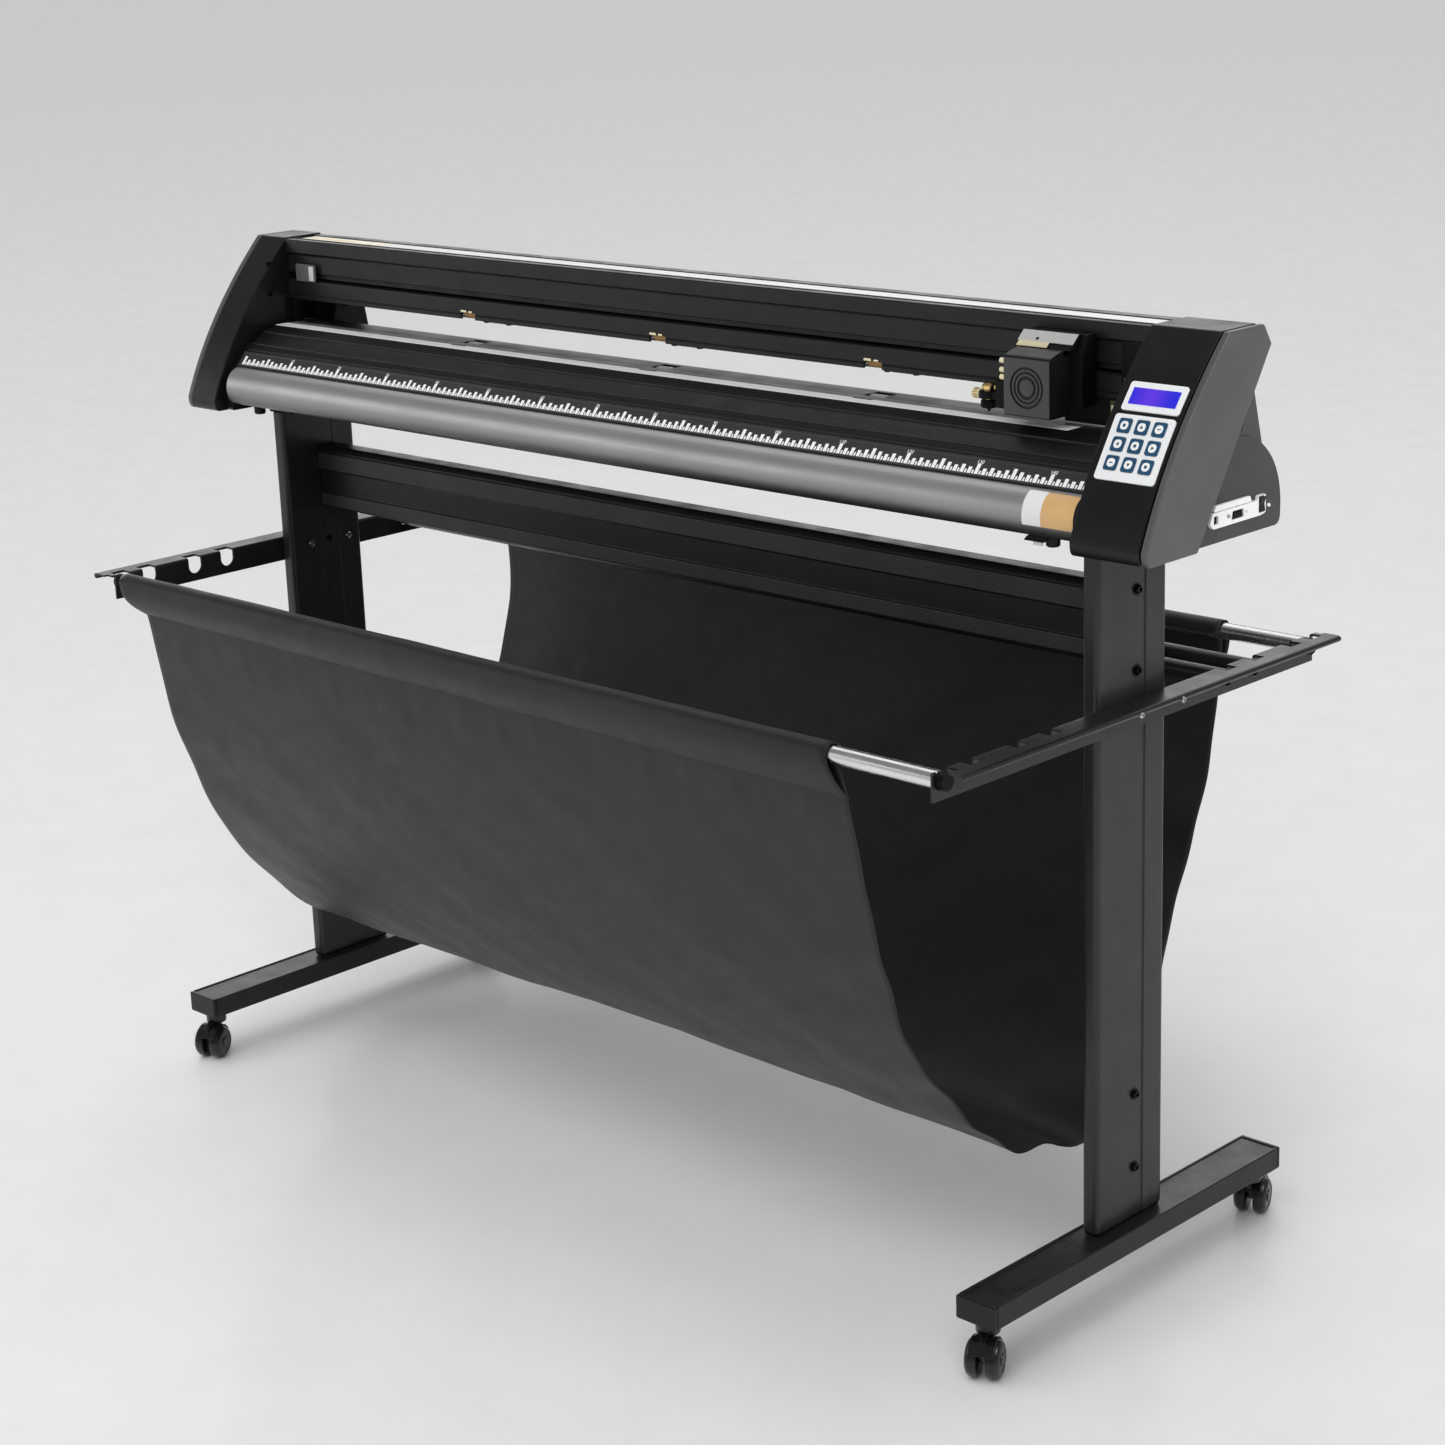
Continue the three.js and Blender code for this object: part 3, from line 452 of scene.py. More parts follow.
SIDES = {"left": -1, "right": 1}
FOOT_X, FOOT_Z, FOOT_END = (676.5, 731.5), (63, 91), 272
COLUMN_X, COLUMN_Z = (690, 712), (94.5, 891.7)
BAND_Y, BAND_DEPTH = (-6, 21), 1.5
TUBE_Y, TUBE_Z, TUBE_R, TUBE_END = 329, 702, 10, 724


def span_of(side, span):
    """A span in X given for the right side, on either side."""
    return span if side > 0 else (-span[1], -span[0])


for word, side in SIDES.items():
    # Foot: a channel with raised side walls, an inset top and a moulded cap at each end.
    x0, x1 = span_of(side, FOOT_X)
    z0, z1 = FOOT_Z
    channel = fillet([(x0, z0), (x1, z0), (x1, z1), (x1 - 3.2, z1), (x1 - 3.6, z1 - 1.4),
                      (x0 + 3.6, z1 - 1.4), (x0 + 3.2, z1), (x0, z1)],
                     [2.5, 2.5, 1.6, 0.6, 0.3, 0.3, 0.6, 1.6], 4)
    piece(f"foot_channel_{word}", prism(channel, (6 - FOOT_END, FOOT_END - 6), "y"), "foot", bevel=0.3,
          segments=2, replaces=f"foot_{word}", slot="coat")
    caps = bmesh.new()
    outline = rounded((x0, x1), FOOT_Z, 2.8)
    for y in ((-FOOT_END, 5.4 - FOOT_END), (FOOT_END - 5.4, FOOT_END)):
        prism(outline, y, "y", caps)
    piece(f"foot_caps_{word}", caps, "shell", bevel=1.2)

    # Column: an extrusion with a shallow band down each broad face, with painted shade in thin dark strips
    # along the band's edges, on a dark gasket that also stands in for the shade in the gap at its foot.
    x0, x1 = span_of(side, COLUMN_X)
    b0, b1 = BAND_Y
    in0, in1 = x0 + BAND_DEPTH, x1 - BAND_DEPTH
    outline = fillet([(x0, -65), (x1, -65), (x1, b0), (in1, b0 + 0.6), (in1, b1 - 0.6), (x1, b1), (x1, 59),
                      (x0, 59), (x0, b1), (in0, b1 - 0.6), (in0, b0 + 0.6), (x0, b0)],
                     [7, 7, 0.5, 0.3, 0.3, 0.5, 7, 7, 0.5, 0.3, 0.3, 0.5], 6)
    post = prism(outline, COLUMN_Z, "z")
    # Painted shade: thin dark strips along both edges of each band.
    for y in (b0, b1 - 0.4):
        for x in (x0 + 1.2, x1 - 2.0):
            block((x, x + 0.8), (y, y + 0.5), (95, 891), post, 1)
    block(span_of(side, (672, 718)), (-63, 57), (COLUMN_Z[1], 895.7), post, 1)
    # The dark gasket at the foot, a trim that also stands in for the shade in the gap there.
    prism(rounded((x0 + 1, x1 - 1), (-64, 58), 7), (91.2, 94.6), "z", post, 1)
    piece(f"column_post_{word}", post, ["extrusion", "dark"], bevel=0.35, segments=2,
          replaces=f"column_{word}", slot="coat")
    bolts = bmesh.new()
    outer, inner = (in1, x0) if side > 0 else (in0, x1)
    for z in (834, 743, 244, 154):
        rod("x", 7.4, sorted((outer, outer + side * 0.6)), (6, z), bolts)
        socket_screw("x", (6, z), outer + side * 0.6, side, 5.2, 4.2, bolts)
    piece(f"column_bolts_{word}", bolts, "bolt")
    screws = bmesh.new()
    for y in (-30, 36):
        socket_screw("x", (y, 701), inner, -side, 5.5, 3.4, screws)
        socket_screw("x", (y, 701), side * 714.8, side, 5.0, 3.0, screws)
    for y in (-36, 40):
        socket_screw("x", (y, 708.5), side * 748.2, side, 3.6, 2.2, screws)
    piece(f"arm_screws_{word}", screws, "steel")
    socket = socket_screw("x", (3, 704), inner + side * 1.5, -side, 4.5, 3.0)
    piece(f"arm_locator_{word}", socket, "bolt")

# Crossbeam: a beam with two stippled lands on its front face.
y0, y1, z0, z1 = -7, 25, 751, 838
LOW_LAND, HIGH_LAND = z0 + 20, z0 + 54
rail = fillet([(y0, z0), (y0, LOW_LAND), (y0 + 2, LOW_LAND + 1.5), (y0 + 2, HIGH_LAND - 1.5), (y0, HIGH_LAND),
               (y0, z1 - 10), (y0 + 1.6, z1 - 9), (y0 + 1.6, z1 - 7.4), (y0 + 1, z1 - 6.6), (y0 + 6, z1),
               (y1, z1), (y1, z0)],
              [3, 1.2, 1.2, 1.2, 1.2, 0.8, 0.4, 0.4, 1.0, 4, 3, 3], 5)
beam = prism(rail, (-689.7, 689.7))
for face in beam.faces:
    middle = face.calc_center_median() / MM
    if face.normal.y < -0.9 and (z0 + 3 < middle.z < LOW_LAND or HIGH_LAND < middle.z < z1 - 10):
        face.material_index = 1
piece("crossbeam_rail", beam, ["beam", "land"], bevel=0.3, segments=2, replaces="crossbeam", slot="coat")

# Arms: bent sheet, hemmed along the outer edge, with open slots for the rods.
ROD_Y = {"outer": 213, "inner": 159}
ARM_SLOTS = (TUBE_Y, 288, *ROD_Y.values())
SLOT_R = 10.6


def arm():
    """The right arm. The left one is the same part, turned half a turn."""
    inner, t, z_low, z_high, web = 712.3, 2.5, 681, 714, 741
    outline = [(inner, z_low), (inner + t, z_low)]
    outline += curve((inner + t, z_high - t - 3), (inner + t, z_high - t), (inner + t + 3, z_high - t), 4)
    outline += [(web, z_high - t)]
    outline += curve((web, z_high - 6), (web + 3, z_high - 8.5), (web + 6, z_high - 6), 5)
    outline += curve((web + 7, z_high - 4), (web + 7, z_high), (web + 2, z_high), 6)
    outline += curve((inner + 4, z_high), (inner, z_high), (inner, z_high - 4), 5)
    body = prism(outline, (-343, 352), "y")
    cuts = bmesh.new()
    block((inner - 3, inner + t + 3), (343, 372), (z_low - 3, z_high - t - 0.2), cuts)
    block((inner + t + 2, web + 30), (-360, -334), (z_low - 3, z_high + 3), cuts)
    body = carve(body, cuts)
    for y in ARM_SLOTS:
        for at in (-y, y):
            slot = [(at - SLOT_R, 730), *arc((at, TUBE_Z), SLOT_R, 180, 360, 14), (at + SLOT_R, 730)]
            body = carve(body, prism(slot, (inner - 3, inner + 17)))
    return carve(body, block((inner - 5, inner + 12), (347, 360), (z_low, z_high + 5)))


for word, side in SIDES.items():
    piece(f"arm_sheet_{word}", moved(arm(), (0, 0, 0), 90 - 90 * side, "Z"), "coat", bevel=0.35, segments=2,
          replaces=f"arm_{word}", slot="coat")

# Tubes and rods.
for word, y in (("front", -TUBE_Y), ("rear", TUBE_Y)):
    bar = rod("x", TUBE_R, (-711.8, 711.8), (y, TUBE_Z), sides=48)
    top = TUBE_Z + TUBE_R
    for k in (-1, 1):
        rod("x", TUBE_R - 0.2, sorted((k * 711.8, k * TUBE_END)), (y, TUBE_Z), bar, 48, 1)
        # Painted reflection: two thin dark strips along the top of each bar.
        block((-711, 711), (y + k * 0.7 - 0.35, y + k * 0.7 + 0.35), (top - 0.3, top + 0.05), bar, 1)
    piece(f"basket_bar_{word}", bar, ["aluminium", "dark"], replaces=f"basket_tube_{word}", slot="aluminium")
for word, y in ROD_Y.items():
    bar = pipe("x", TUBE_R, 8.6, (-TUBE_END, TUBE_END), (y, TUBE_Z), sides=48)
    for plug in ((-716, -714), (714, 716)):
        rod("x", 8.5, plug, (y, TUBE_Z), bar, mat=1)
    piece(f"rod_{word}_tube", bar, ["coat", "dark"], f"rod_{word}", replaces=f"media_rod_{word}", slot="coat")

# Casters: a hood over twin wheels. Each is built with its swivel axis on Z, then turned and placed.
WHEEL_R = 22.5
AXLE = (15, WHEEL_R)
CASTERS = [(f"{end}_{word}", (side * 704, y, 0), turn)
           for end, y, turn in (("front", -250, 205), ("rear", 250, 20)) for word, side in SIDES.items()]

for word, *spot in CASTERS:
    arch = arc(AXLE, WHEEL_R + 2.4, 28, 150, 12) + arc(AXLE, WHEEL_R + 0.7, 150, 28, 12)
    hood = prism(arch, (-14.5, 14.5))
    cheek = fillet([(8, 17), (22, 17), (34, 36), (30, 46), (8, 54), (-11, 54), (-8, 40)], 4, 5)
    prism(cheek, (-3.6, 3.6), "x", hood)
    lathe([(0, 47), (13, 47), (14, 49), (14, 58), (12, 61), (12, 62.7), (0, 62.7)], "z", (0, 0), hood)
    piece(f"caster_hood_{word}", moved(hood, *spot, "Z"), "wheel", f"fork_{word}", bevel=0.9,
          replaces=f"caster_fork_{word}", slot="shell")
    wheels = bmesh.new()
    wheel = [(0, 4.6), (20, 4.6), (21.9, 5.4), (WHEEL_R, 7), (WHEEL_R, 12.6), (22, 15), (20.7, 17.2),
             (18.6, 18.9), (15.6, 20), (14.8, 19.3), (8, 19.6), (7.2, 20.9), (0, 21.2)]
    for k in (-1, 1):
        lathe([(r, k * w) for r, w in wheel], "x", AXLE, wheels, 56)
    rod("x", 2.9, (-6, 6), AXLE, wheels)
    piece(f"caster_wheels_{word}", moved(wheels, *spot, "Z"), "wheel", f"wheel_{word}",
          replaces=f"caster_wheel_{word}", slot="rubber")

# ---- end housings

FRONT = (-126, 912), (-84.5, 1018), (15, 1120)  # ends of the curved front, with its pull between
HOUSING_IN, HOUSING_OUT = {"left": -757, "right": 720}, 820


def housing_outline(k=0.0):
    """Side view of an end housing, drawn in by k."""
    points = [(-116 + k, 896 + k), (-37 - 0.7 * k, 896 + k), (92 - 1.1 * k, 1098 - 0.3 * k),
              (78 - 0.6 * k, 1120 - k)]
    points += curve((15 + 0.6 * k, 1120 - k), (-84.5 + 0.8 * k, 1018 - 0.6 * k), (-126 + k, 912), 40)
    points += curve((-126 + k, 910), (-126 + k, 896 + k), (-117 + k, 896 + k), 8)
    return points


def on_front(t, x):
    """The place of a plate on the housings' curved front, at t from its low end, 0, to its high end, 1."""
    shares = ((1 - t) ** 2, 2 * t * (1 - t), t * t)
    y, z = (sum(share * point[i] for share, point in zip(shares, FRONT)) for i in (0, 1))
    low, pull, high = FRONT
    dy, dz = ((1 - t) * (pull[i] - low[i]) + t * (high[i] - pull[i]) for i in (0, 1))
    return seat((x, y, z), math.atan2(dz, dy))


def front_plate(place_on, size, span, radius, bm=None, mat=0, middle=(0, 0)):
    """A rounded plate on a place on the front. span is its bottom and top, and middle its middle there."""
    u, v = ((at - side / 2, at + side / 2) for at, side in zip(middle, size))
    plate = prism(rounded(u, v, radius, 6), span, "z", None, mat)
    plate.transform(place_on)
    return merge(bm, plate) if bm else plate


SEAM, LID = 1.6, 9.0  # the dark seam between the shell and its lid, and the lid's thickness
for word, side in SIDES.items():
    outer, lid_in = side * HOUSING_OUT, side * (HOUSING_OUT - LID)
    body = prism(housing_outline(), sorted((HOUSING_IN[word], lid_in - side * SEAM)))
    prism(housing_outline(3.5), sorted((lid_in - side * (SEAM + 1), lid_in + side)), "x", body, 1)
    piece(f"housing_shell_{word}", body, ["shell", "dark"], bevel=2.2, segments=4,
          replaces=f"housing_{word}", slot="shell")
    lid = prism(housing_outline(), sorted((lid_in, outer)))
    # The lid is painted lighter than the shell, for the light on the side faces.
    piece(f"housing_lid_{word}", lid, "shell_side", bevel=2.4, segments=4)

shoulder = fillet([(-108, 896.5), (-40, 896.5), (20, 984), (-60, 984), (-96, 950)], 6, 5)
piece("housing_shoulder_left", prism(shoulder, (-757.2, -743.4)), "shell", bevel=1.5)


def cover_outline(k=0.0):
    """Side view of a rear cover, drawn in by k."""
    points = [(-34, 893 + k), (133, 893 + k)]
    points += curve((133, 893 + k), (143 - k, 893 + k), (143 - k, 905), 8)
    points += curve((143 - k, 906), (146 - k, 958 - 0.7 * k), (108 - 0.6 * k, 986 - 0.8 * k), 14)
    points += curve((107 - 0.6 * k, 986.7 - 0.8 * k), (82, 1004 - k), (34.5, 1006 - k), 12)
    return points


for word, inner, outer in (("left", -743.3, -800), ("right", 724, 800)):
    side = SIDES[word]
    cover = prism(cover_outline(1.8), sorted((inner, outer - side * 3)))
    prism(cover_outline(), sorted((outer - side * 5, outer)), "x", cover)
    if word == "left":
        prism(cover_outline(), sorted((inner, inner - 5)), "x", cover)
    piece(f"rear_shell_{word}", cover, "cover", bevel=1.4, replaces=f"rear_cover_{word}", slot="shell")
    fin = fillet([(58, 1000), (70, 1006), (92, 1049), (109, 985), (90, 990)], [0, 0, 3, 2, 0], 4)
    piece(f"rear_fin_{word}", prism(fin, sorted((outer - side * 9, outer - side * 2))), "hood", bevel=0.8)

# ---- bed and apron

DECK = 1004.5
BED_X = (-743, 716)
PINCH_X = (-378, -24, 328)
slope = curve((-25, DECK), (-60, 999), (-93, 956.8), 60)
TREADS = (0, 19, 37, 44)  # the points of the slope where a tread ends
ribs, lips = [], []
for k, m in zip(TREADS, TREADS[1:]):
    a, (y, z) = slope[k], slope[m]
    lips.append((y + 1.8, z + 0.9))
    ribs += [(a[0] * 0.9 + y * 0.1, a[1] * 0.9 + z * 0.1 - 0.6), lips[-1], (y + 1.2, z - 1.2)]
rule_high, rule_low = slope[TREADS[-1] + 2], slope[-1]
bed = [(-84.2, 956.8), (-84.2, 907), (-60, 900), (-48, 896), (124, 896)]
bed += curve((124, 897), (128, 950), (100, 977), 12)
bed += curve((99, 977.6), (75, DECK - 3), (46, DECK), 10)
bed += [slope[0], *ribs, rule_high, rule_low]
deck = prism(bed, BED_X)
pockets = bmesh.new()
for x in PINCH_X:
    block((x - 15, x + 15), (15.5, 40.5), (980, 1010), pockets)
deck = carve(deck, pockets)
for x in (-731, 656):
    lathe([(0, 888), (6.5, 888), (8, 890), (8, 905), (0, 905)], "z", (x, -70), deck, 24)
piece("bed_profile", deck, "bed", bevel=0.4, segments=2, replaces="platen", slot="coat")

# The cutting strip, narrower in front of each grit roller, and the grey band behind it.
STRIP_X, STRIP_Y, POCKET = (-742.5, 640), (-24.5, -2), 15.4
strips = bmesh.new()
strip_z = (DECK - 0.4, DECK + 0.35)
edges = [STRIP_X[0]] + [x + s for x in PINCH_X for s in (-POCKET, POCKET)] + [STRIP_X[1]]
for span in zip(edges[::2], edges[1::2]):
    block(span, STRIP_Y, strip_z, strips)
for x in PINCH_X:
    block((x - POCKET, x + POCKET), (STRIP_Y[0], -6), strip_z, strips)
piece("cutting_strip", strips, "strip", bevel=0.3, segments=2)
band_and_lip_highlights = bmesh.new()
block(STRIP_X, (-1.6, 13), (DECK - 0.2, DECK + 0.2), band_and_lip_highlights)
# Painted highlights: lighter grey strips along the lips of the treads.
for y, z in lips:
    block((STRIP_X[0], 715.5), (y - 0.2, y + 1.0), (z - 0.3, z + 0.35), band_and_lip_highlights, 1)
piece("bed_band_and_lip_highlights", band_and_lip_highlights, ["band", "ruler"], bevel=0.15, segments=1)

# Ruler along the front edge of the bed.
across = Vector((rule_high[0] - rule_low[0], rule_high[1] - rule_low[1])).normalized()
lift = Vector((across.y, -across.x)) * -1


def on_rule(u, h):
    """(y, z) at u up the ruler's face from its low edge, and h above the face."""
    return (rule_low[0] + across.x * u + lift.x * h, rule_low[1] + across.y * u + lift.y * h)


wide = (Vector(rule_high) - Vector(rule_low)).length
plate = fillet([on_rule(0.2, -0.5), on_rule(wide, -0.5), on_rule(wide, 1.6), on_rule(wide - 2.2, 1.6),
                on_rule(wide - 3.0, 0.9), on_rule(3.0, 0.9), on_rule(2.2, 1.6), on_rule(0.2, 1.6)], 0.3, 3)
piece("ruler_plate", prism(plate, BED_X), "ruler", bevel=0.2, segments=1)
RULE_START, PITCH, TICKS = -733, 10, 145
TICK_FOOT, TICK_SPAN = 3.4, (0.85, 1.05)
ticks = bmesh.new()


def tick(x, top):
    low, high = TICK_SPAN
    prism([on_rule(TICK_FOOT, low), on_rule(top, low), on_rule(top, high), on_rule(TICK_FOOT, high)],
          x, "x", ticks)


for k in range(TICKS):
    x = RULE_START + PITCH * k
    tall = 13.0 if k % 5 == 0 else 10.0 if k % 2 == 0 else 8.0
    tick((x - 2.4, x + 2.4), TICK_FOOT + tall)
    tick((x + 3.9, x + 6.1), 8.0)
piece("ruler_ticks", ticks, "ink")
numerals = bmesh.new()
for k in range(10, TICKS, 10):
    text = bpy.data.curves.new("numeral", "FONT")
    text.body = str(k)
    text.size = 6.5 * MM
    text.extrude = 0.08 * MM
    text.align_x = "CENTER"
    holder = add_object("numeral", text)
    figure = evaluated_mesh(holder)
    bpy.data.objects.remove(holder)
    figure.transform(seat((RULE_START + PITCH * k, *on_rule(16.5, 1.0)), math.atan2(across.y, across.x)))
    numerals.from_mesh(figure)
piece("ruler_numerals", numerals, "ink")

apron_back = [(-84.5, 907), (-84.5, 956), (-93.2, 956)]
apron_front = curve((-95, 955.4), (-113, 950), (-115, 930), 20)
apron_front += curve((-115, 929), (-115, 910), (-102, 906), 18)
piece("apron_shell", prism(apron_back + apron_front, BED_X), "apron", bevel=0.5, segments=2,
      replaces="front_apron", slot="coat")


def apron_patch(x, out, bm=None, mat=0):
    """A thin patch that follows the apron's front, and stands out from it."""
    inside = apron_front[2:27]
    return prism(inside + [(y - out, z) for y, z in inside[::-1]], x, "x", bm, mat)


label = apron_patch((649, 717), 0.35)
apron_patch((674, 717), 0.45, label, 1)
piece("apron_label", label, ["paper", "print"], bevel=0.1, segments=1)

# ---- gantry beam

y0, y1, z0, z1 = 14, 80, 1036, 1118
BEAM_X = (-756.5, 719.5)
outline = fillet([
    (y0 + 1, z0), (y0 + 1, 1041), (y0 + 2.2, 1042), (y0 + 1, 1043.5), (y0 + 1, 1062), (y0 + 3, 1063),
    (44, 1063), (44, 1072), (y0 + 6, 1072), (y0 + 4, 1073), (y0 + 4, 1097), (y0 + 2, 1099), (y0, 1100),
    (y0, z1), (24, z1), (25, z1 - 1.5), (29, z1 - 1.5), (30, z1), (33, z1), (33, z1 - 3), (63, z1 - 3),
    (63, z1), (y1, z1), (y1, z0), (y1 - 4, z0), (y1 - 4, 1058), (y0 + 5, 1058), (y0 + 5, z0)],
    [0.6, 0.4, 0.4, 0.8, 1.2, 0.8, 0.3, 0.3, 0.8, 0.8, 1.5, 0.8, 1.2, 2.5, 0.6, 0.4, 0.4, 0.6, 0.8, 0.3, 0.3,
     0.8, 2, 1, 0.3, 0.3, 0.3, 0.6], 4)
girder = prism(outline, BEAM_X)
windows = bmesh.new()
for x in PINCH_X:
    block((x - 14, x + 14), (y0 - 3, y0 + 7), (z0 - 3, z0 + 9), windows)
block((698, 708), (y1 - 5, y1 + 1), (z0 - 3, z0 + 12), windows)
girder = carve(girder, windows)
ear = rounded((62, 80), (1023, 1037), 4)
for x in PINCH_X:
    for middle in (x - 22, x + 22):
        prism(ear, (middle - 2, middle + 2), "x", girder)
rod("z", 2, (1062.5, 1072.5), (-735, 32), girder)
piece("beam_girder", girder, "beam", bevel=0.35, segments=2, replaces="gantry_beam", slot="coat")

# On the beam: a pale inlay with a blank tag, a bracket, two studs and the lift shaft's bearing.
piece("beam_inlay", block((-748, 719), (34, 62), (z1 - 3.2, z1 - 1.0)), "strip", bevel=0.4, segments=2)
tag = block((-744, -575), (39, 57), (z1 - 1.1, z1 - 0.7))
block((-740, -640), (42, 49), (z1 - 0.8, z1 - 0.6), tag, 1)
piece("beam_tag", tag, ["cream", "print"], bevel=0.1, segments=1)

bracket = prism(rounded((-733, -691), (1062, 1086), 3), (11, 13.8), "y")
block((-703, -693), (9.6, 11.2), (1064, 1084), bracket, 1)
piece("idler_bracket", bracket, ["shell_side", "zinc"], bevel=0.6, segments=2)
studs = bmesh.new()
for z in (1046, 1088):
    socket_screw("x", (-18, z), HOUSING_IN["left"], 1, 4, 3, studs)
piece("housing_studs_left", studs, "bolt")
bearing = prism([(48, 1005), (110, 985), (100, 1045), (60, 1045)], (BEAM_X[0], -703))
bearing = carve(bearing, rod("x", 8, (-760, -690), (70, 1030)))
block((-756.6, -744.5), (14, 47), (1005.5, 1035), bearing)
piece("lift_bearing", bearing, "dark", bevel=1.0)

# ---- feed and pinch

def recoat(name, key):
    """A finished material on a CAD node that keeps its shape."""
    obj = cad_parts[name]
    obj.data.materials.clear()
    obj.data.materials.append(M[key])
    return obj


SHAFT_AT = (28, 993.5)
shaft = rod("x", 5, (-730, 712), SHAFT_AT, sides=32)
for x in PINCH_X:
    grit = [(11 if k % 2 else 10.7, x - 12.4 + 24.8 * k / 13) for k in range(14)]
    lathe([(0, x - 13), (10.2, x - 13), *grit, (10.2, x + 13), (0, x + 13)], "x", SHAFT_AT, shaft, 48, 1)
piece("feed_roller", shaft, ["steel", "zinc"], "feed", replaces="feed_shaft", slot="steel")
for k, x in enumerate(PINCH_X, 1):
    low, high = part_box(f"pinch_roller_{k}")
    centre = ((low.y + high.y) / 2 / MM, (low.z + high.z) / 2 / MM)
    tyre = lathe([(0, x - 12), (6.4, x - 12), (7.5, x - 11), (7.5, x + 11), (6.4, x + 12), (0, x + 12)],
                 "x", centre, sides=40)
    rod("x", 2, (x - 15.2, x + 15.2), centre, tyre, 20, 1)
    piece(f"pinch_tyre_{k}", tyre, ["tan", "brass"], f"pinch_wheel_{k}", replaces=f"pinch_roller_{k}",
          slot="tan")
    recoat(f"pinch_arm_{k}", "steel")
    clip = block((x - 12, x - 1), (13.2, 14.6), (1045.2, 1048.2))
    block((x + 3, x + 10), (13.2, 14.6), (1045.2, 1047.6), clip)
    piece(f"pinch_clip_{k}", clip, "cream", bevel=0.6, segments=2)
for name, key in (("lift_shaft", "steel"), ("drive_belt", "rubber"), ("drive_pulley", "aluminium"),
                  ("idler_pulley", "aluminium"), ("carriage_motor", "dark"), ("feed_motor", "dark"),
                  ("feed_motor_pulley", "bolt"), ("feed_belt", "rubber")):
    finish_edges(recoat(name, key), 0, 1, 35)

# ---- carriage

x0, x1 = 566, 650
ROOF_X = (x0 + 1, x0 + 75)
carrier = prism(fillet([(12.5, 1028), (12.5, 1088), (-12.3, 1088), (-12.3, 1028)], 1.5), (x0, x1))
prism([(-12, 1087), (12, 1087), (12, 1103), (10, 1105), (-2, 1105)], (x0 + 76, x1), "x", carrier)
block((x0 + 24, x0 + 60), (12, 22.5), (1066.5, 1073.5), carrier)
piece("carriage_body", carrier, "dark", "carriage", bevel=0.8, replaces="carriage_block", slot="steel")
roof = prism([(12, 1088), (-12, 1088), (-22, 1089.6), (-6, 1104.2), (-5.6, 1105), (12, 1105)], ROOF_X, mat=1)
prism([(-6, 1104.4), (-16.8, 1094.9), (-17.2, 1095.7), (-6.4, 1105.4)], ROOF_X, "x", roof)
screw = rod("z", 1.8, (0, 0.5), (0, 0), sides=20, mat=1)
merge(roof, moved(screw, (x0 + 26, -14.6, 1098.2), 42, "X"))
socket_screw("z", (x0 + 26, 2), 1105, 1, 3.2, 1.2, roof, 1)
piece("carriage_roof", roof, ["zinc", "dark"], "carriage", bevel=0.3, segments=2)
foil = prism([(-16.8, 1095.9), (-22.6, 1090.7), (-22.2, 1090.1), (-16.4, 1095.3)], (x0 + 3, x0 + 44))
piece("carriage_foil", foil, "gold", "carriage", bevel=0.1, segments=1)

# The carriage's hood, with a round vent of two rings and a hub.
HOOD_X, VENT_AT, VENT_Y = (572, 634), (603, 1050), -46.7
shape = fillet([(-48, 1018), (-48, 1081), (-45.5, 1083.8), (-31, 1088.4), (-22.6, 1089.6), (-22.6, 1084),
                (-12.6, 1083.8), (-12.6, 1018)], [3, 2, 2, 3, 1, 0.5, 1, 1], 5)
vent = lathe([(0, -49), (22.5, -49), (22.5, -46.6), (0, -46.6)], "y", VENT_AT, None, 56)
hood = carve(prism(shape, HOOD_X), vent)
for face in hood.faces:
    face.material_index = int(face.normal.y < -0.9 and face.calc_center_median().y < -47.5 * MM)
for r0, r1 in ((20.0, 17.6), (15.2, 12.8)):
    ring = [(r0, VENT_Y), (r0, -47.9), (r1, -47.9), (r1, VENT_Y), (r0, VENT_Y)]
    lathe(ring, "y", VENT_AT, hood, 56, 1)
lathe([(0, VENT_Y), (9.5, VENT_Y), (9.5, -47.6), (8.6, -48.1), (0, -48.1)], "y", VENT_AT, hood, 48, 1)
piece("carriage_hood", hood, ["shell", "hood"], "carriage", bevel=0.7, replaces="carriage_cover",
      slot="shell")
pins = bmesh.new()
for z in (1058, 1066, 1076):
    rod("x", 3, (HOOD_X[0] - 9, HOOD_X[0] + 0.2), (-42, z), pins, 24)
piece("hood_pins", pins, "cream", "carriage")

# The tool: its carrier, a spring on a pin, the knurled blade holder and the clamp knob.
cx, cy = 514, -2
SPRING_AT, PIN_Z = (552, cy + 1), (1046, 1064)
slider = block((530, 565.7), (cy - 9, cy + 11), (1016, 1046))
block((cx + 8, 532), (cy - 6, cy + 6), (1024, 1032), slider)
pipe("z", 11, 6.4, (1024, 1032), (cx, cy), slider, 40)
piece("tool_carrier", slider, "dark", "tool", bevel=0.8, replaces="tool_slide", slot="steel")
spring = rod("z", 3.2, PIN_Z, SPRING_AT, None, 24)
for k in range(6):
    z = PIN_Z[0] + 1.5 + 2.6 * k
    lathe([(4.6, z), (5.4, z + 0.8), (4.6, z + 1.6), (4.6, z)], "z", SPRING_AT, spring, 28, 1)
piece("tool_spring", spring, ["brass", "steel"], "tool")
holder = lathe([(0, 1009), (0.8, 1009), (2.6, 1012), (5, 1012.6), (8.2, 1013.4), (8.5, 1014.4), (8.5, 1021.6),
                (8, 1022.6), (6, 1023), (6, 1033), (7.2, 1033.4), (7.5, 1034), (7.5, 1038.4), (6.8, 1039.2),
                (5, 1041), (0, 1041)], "z", (cx, cy), None, 40)
for face in holder.faces:
    face.material_index = int(face.calc_center_median().z < 1.0235)
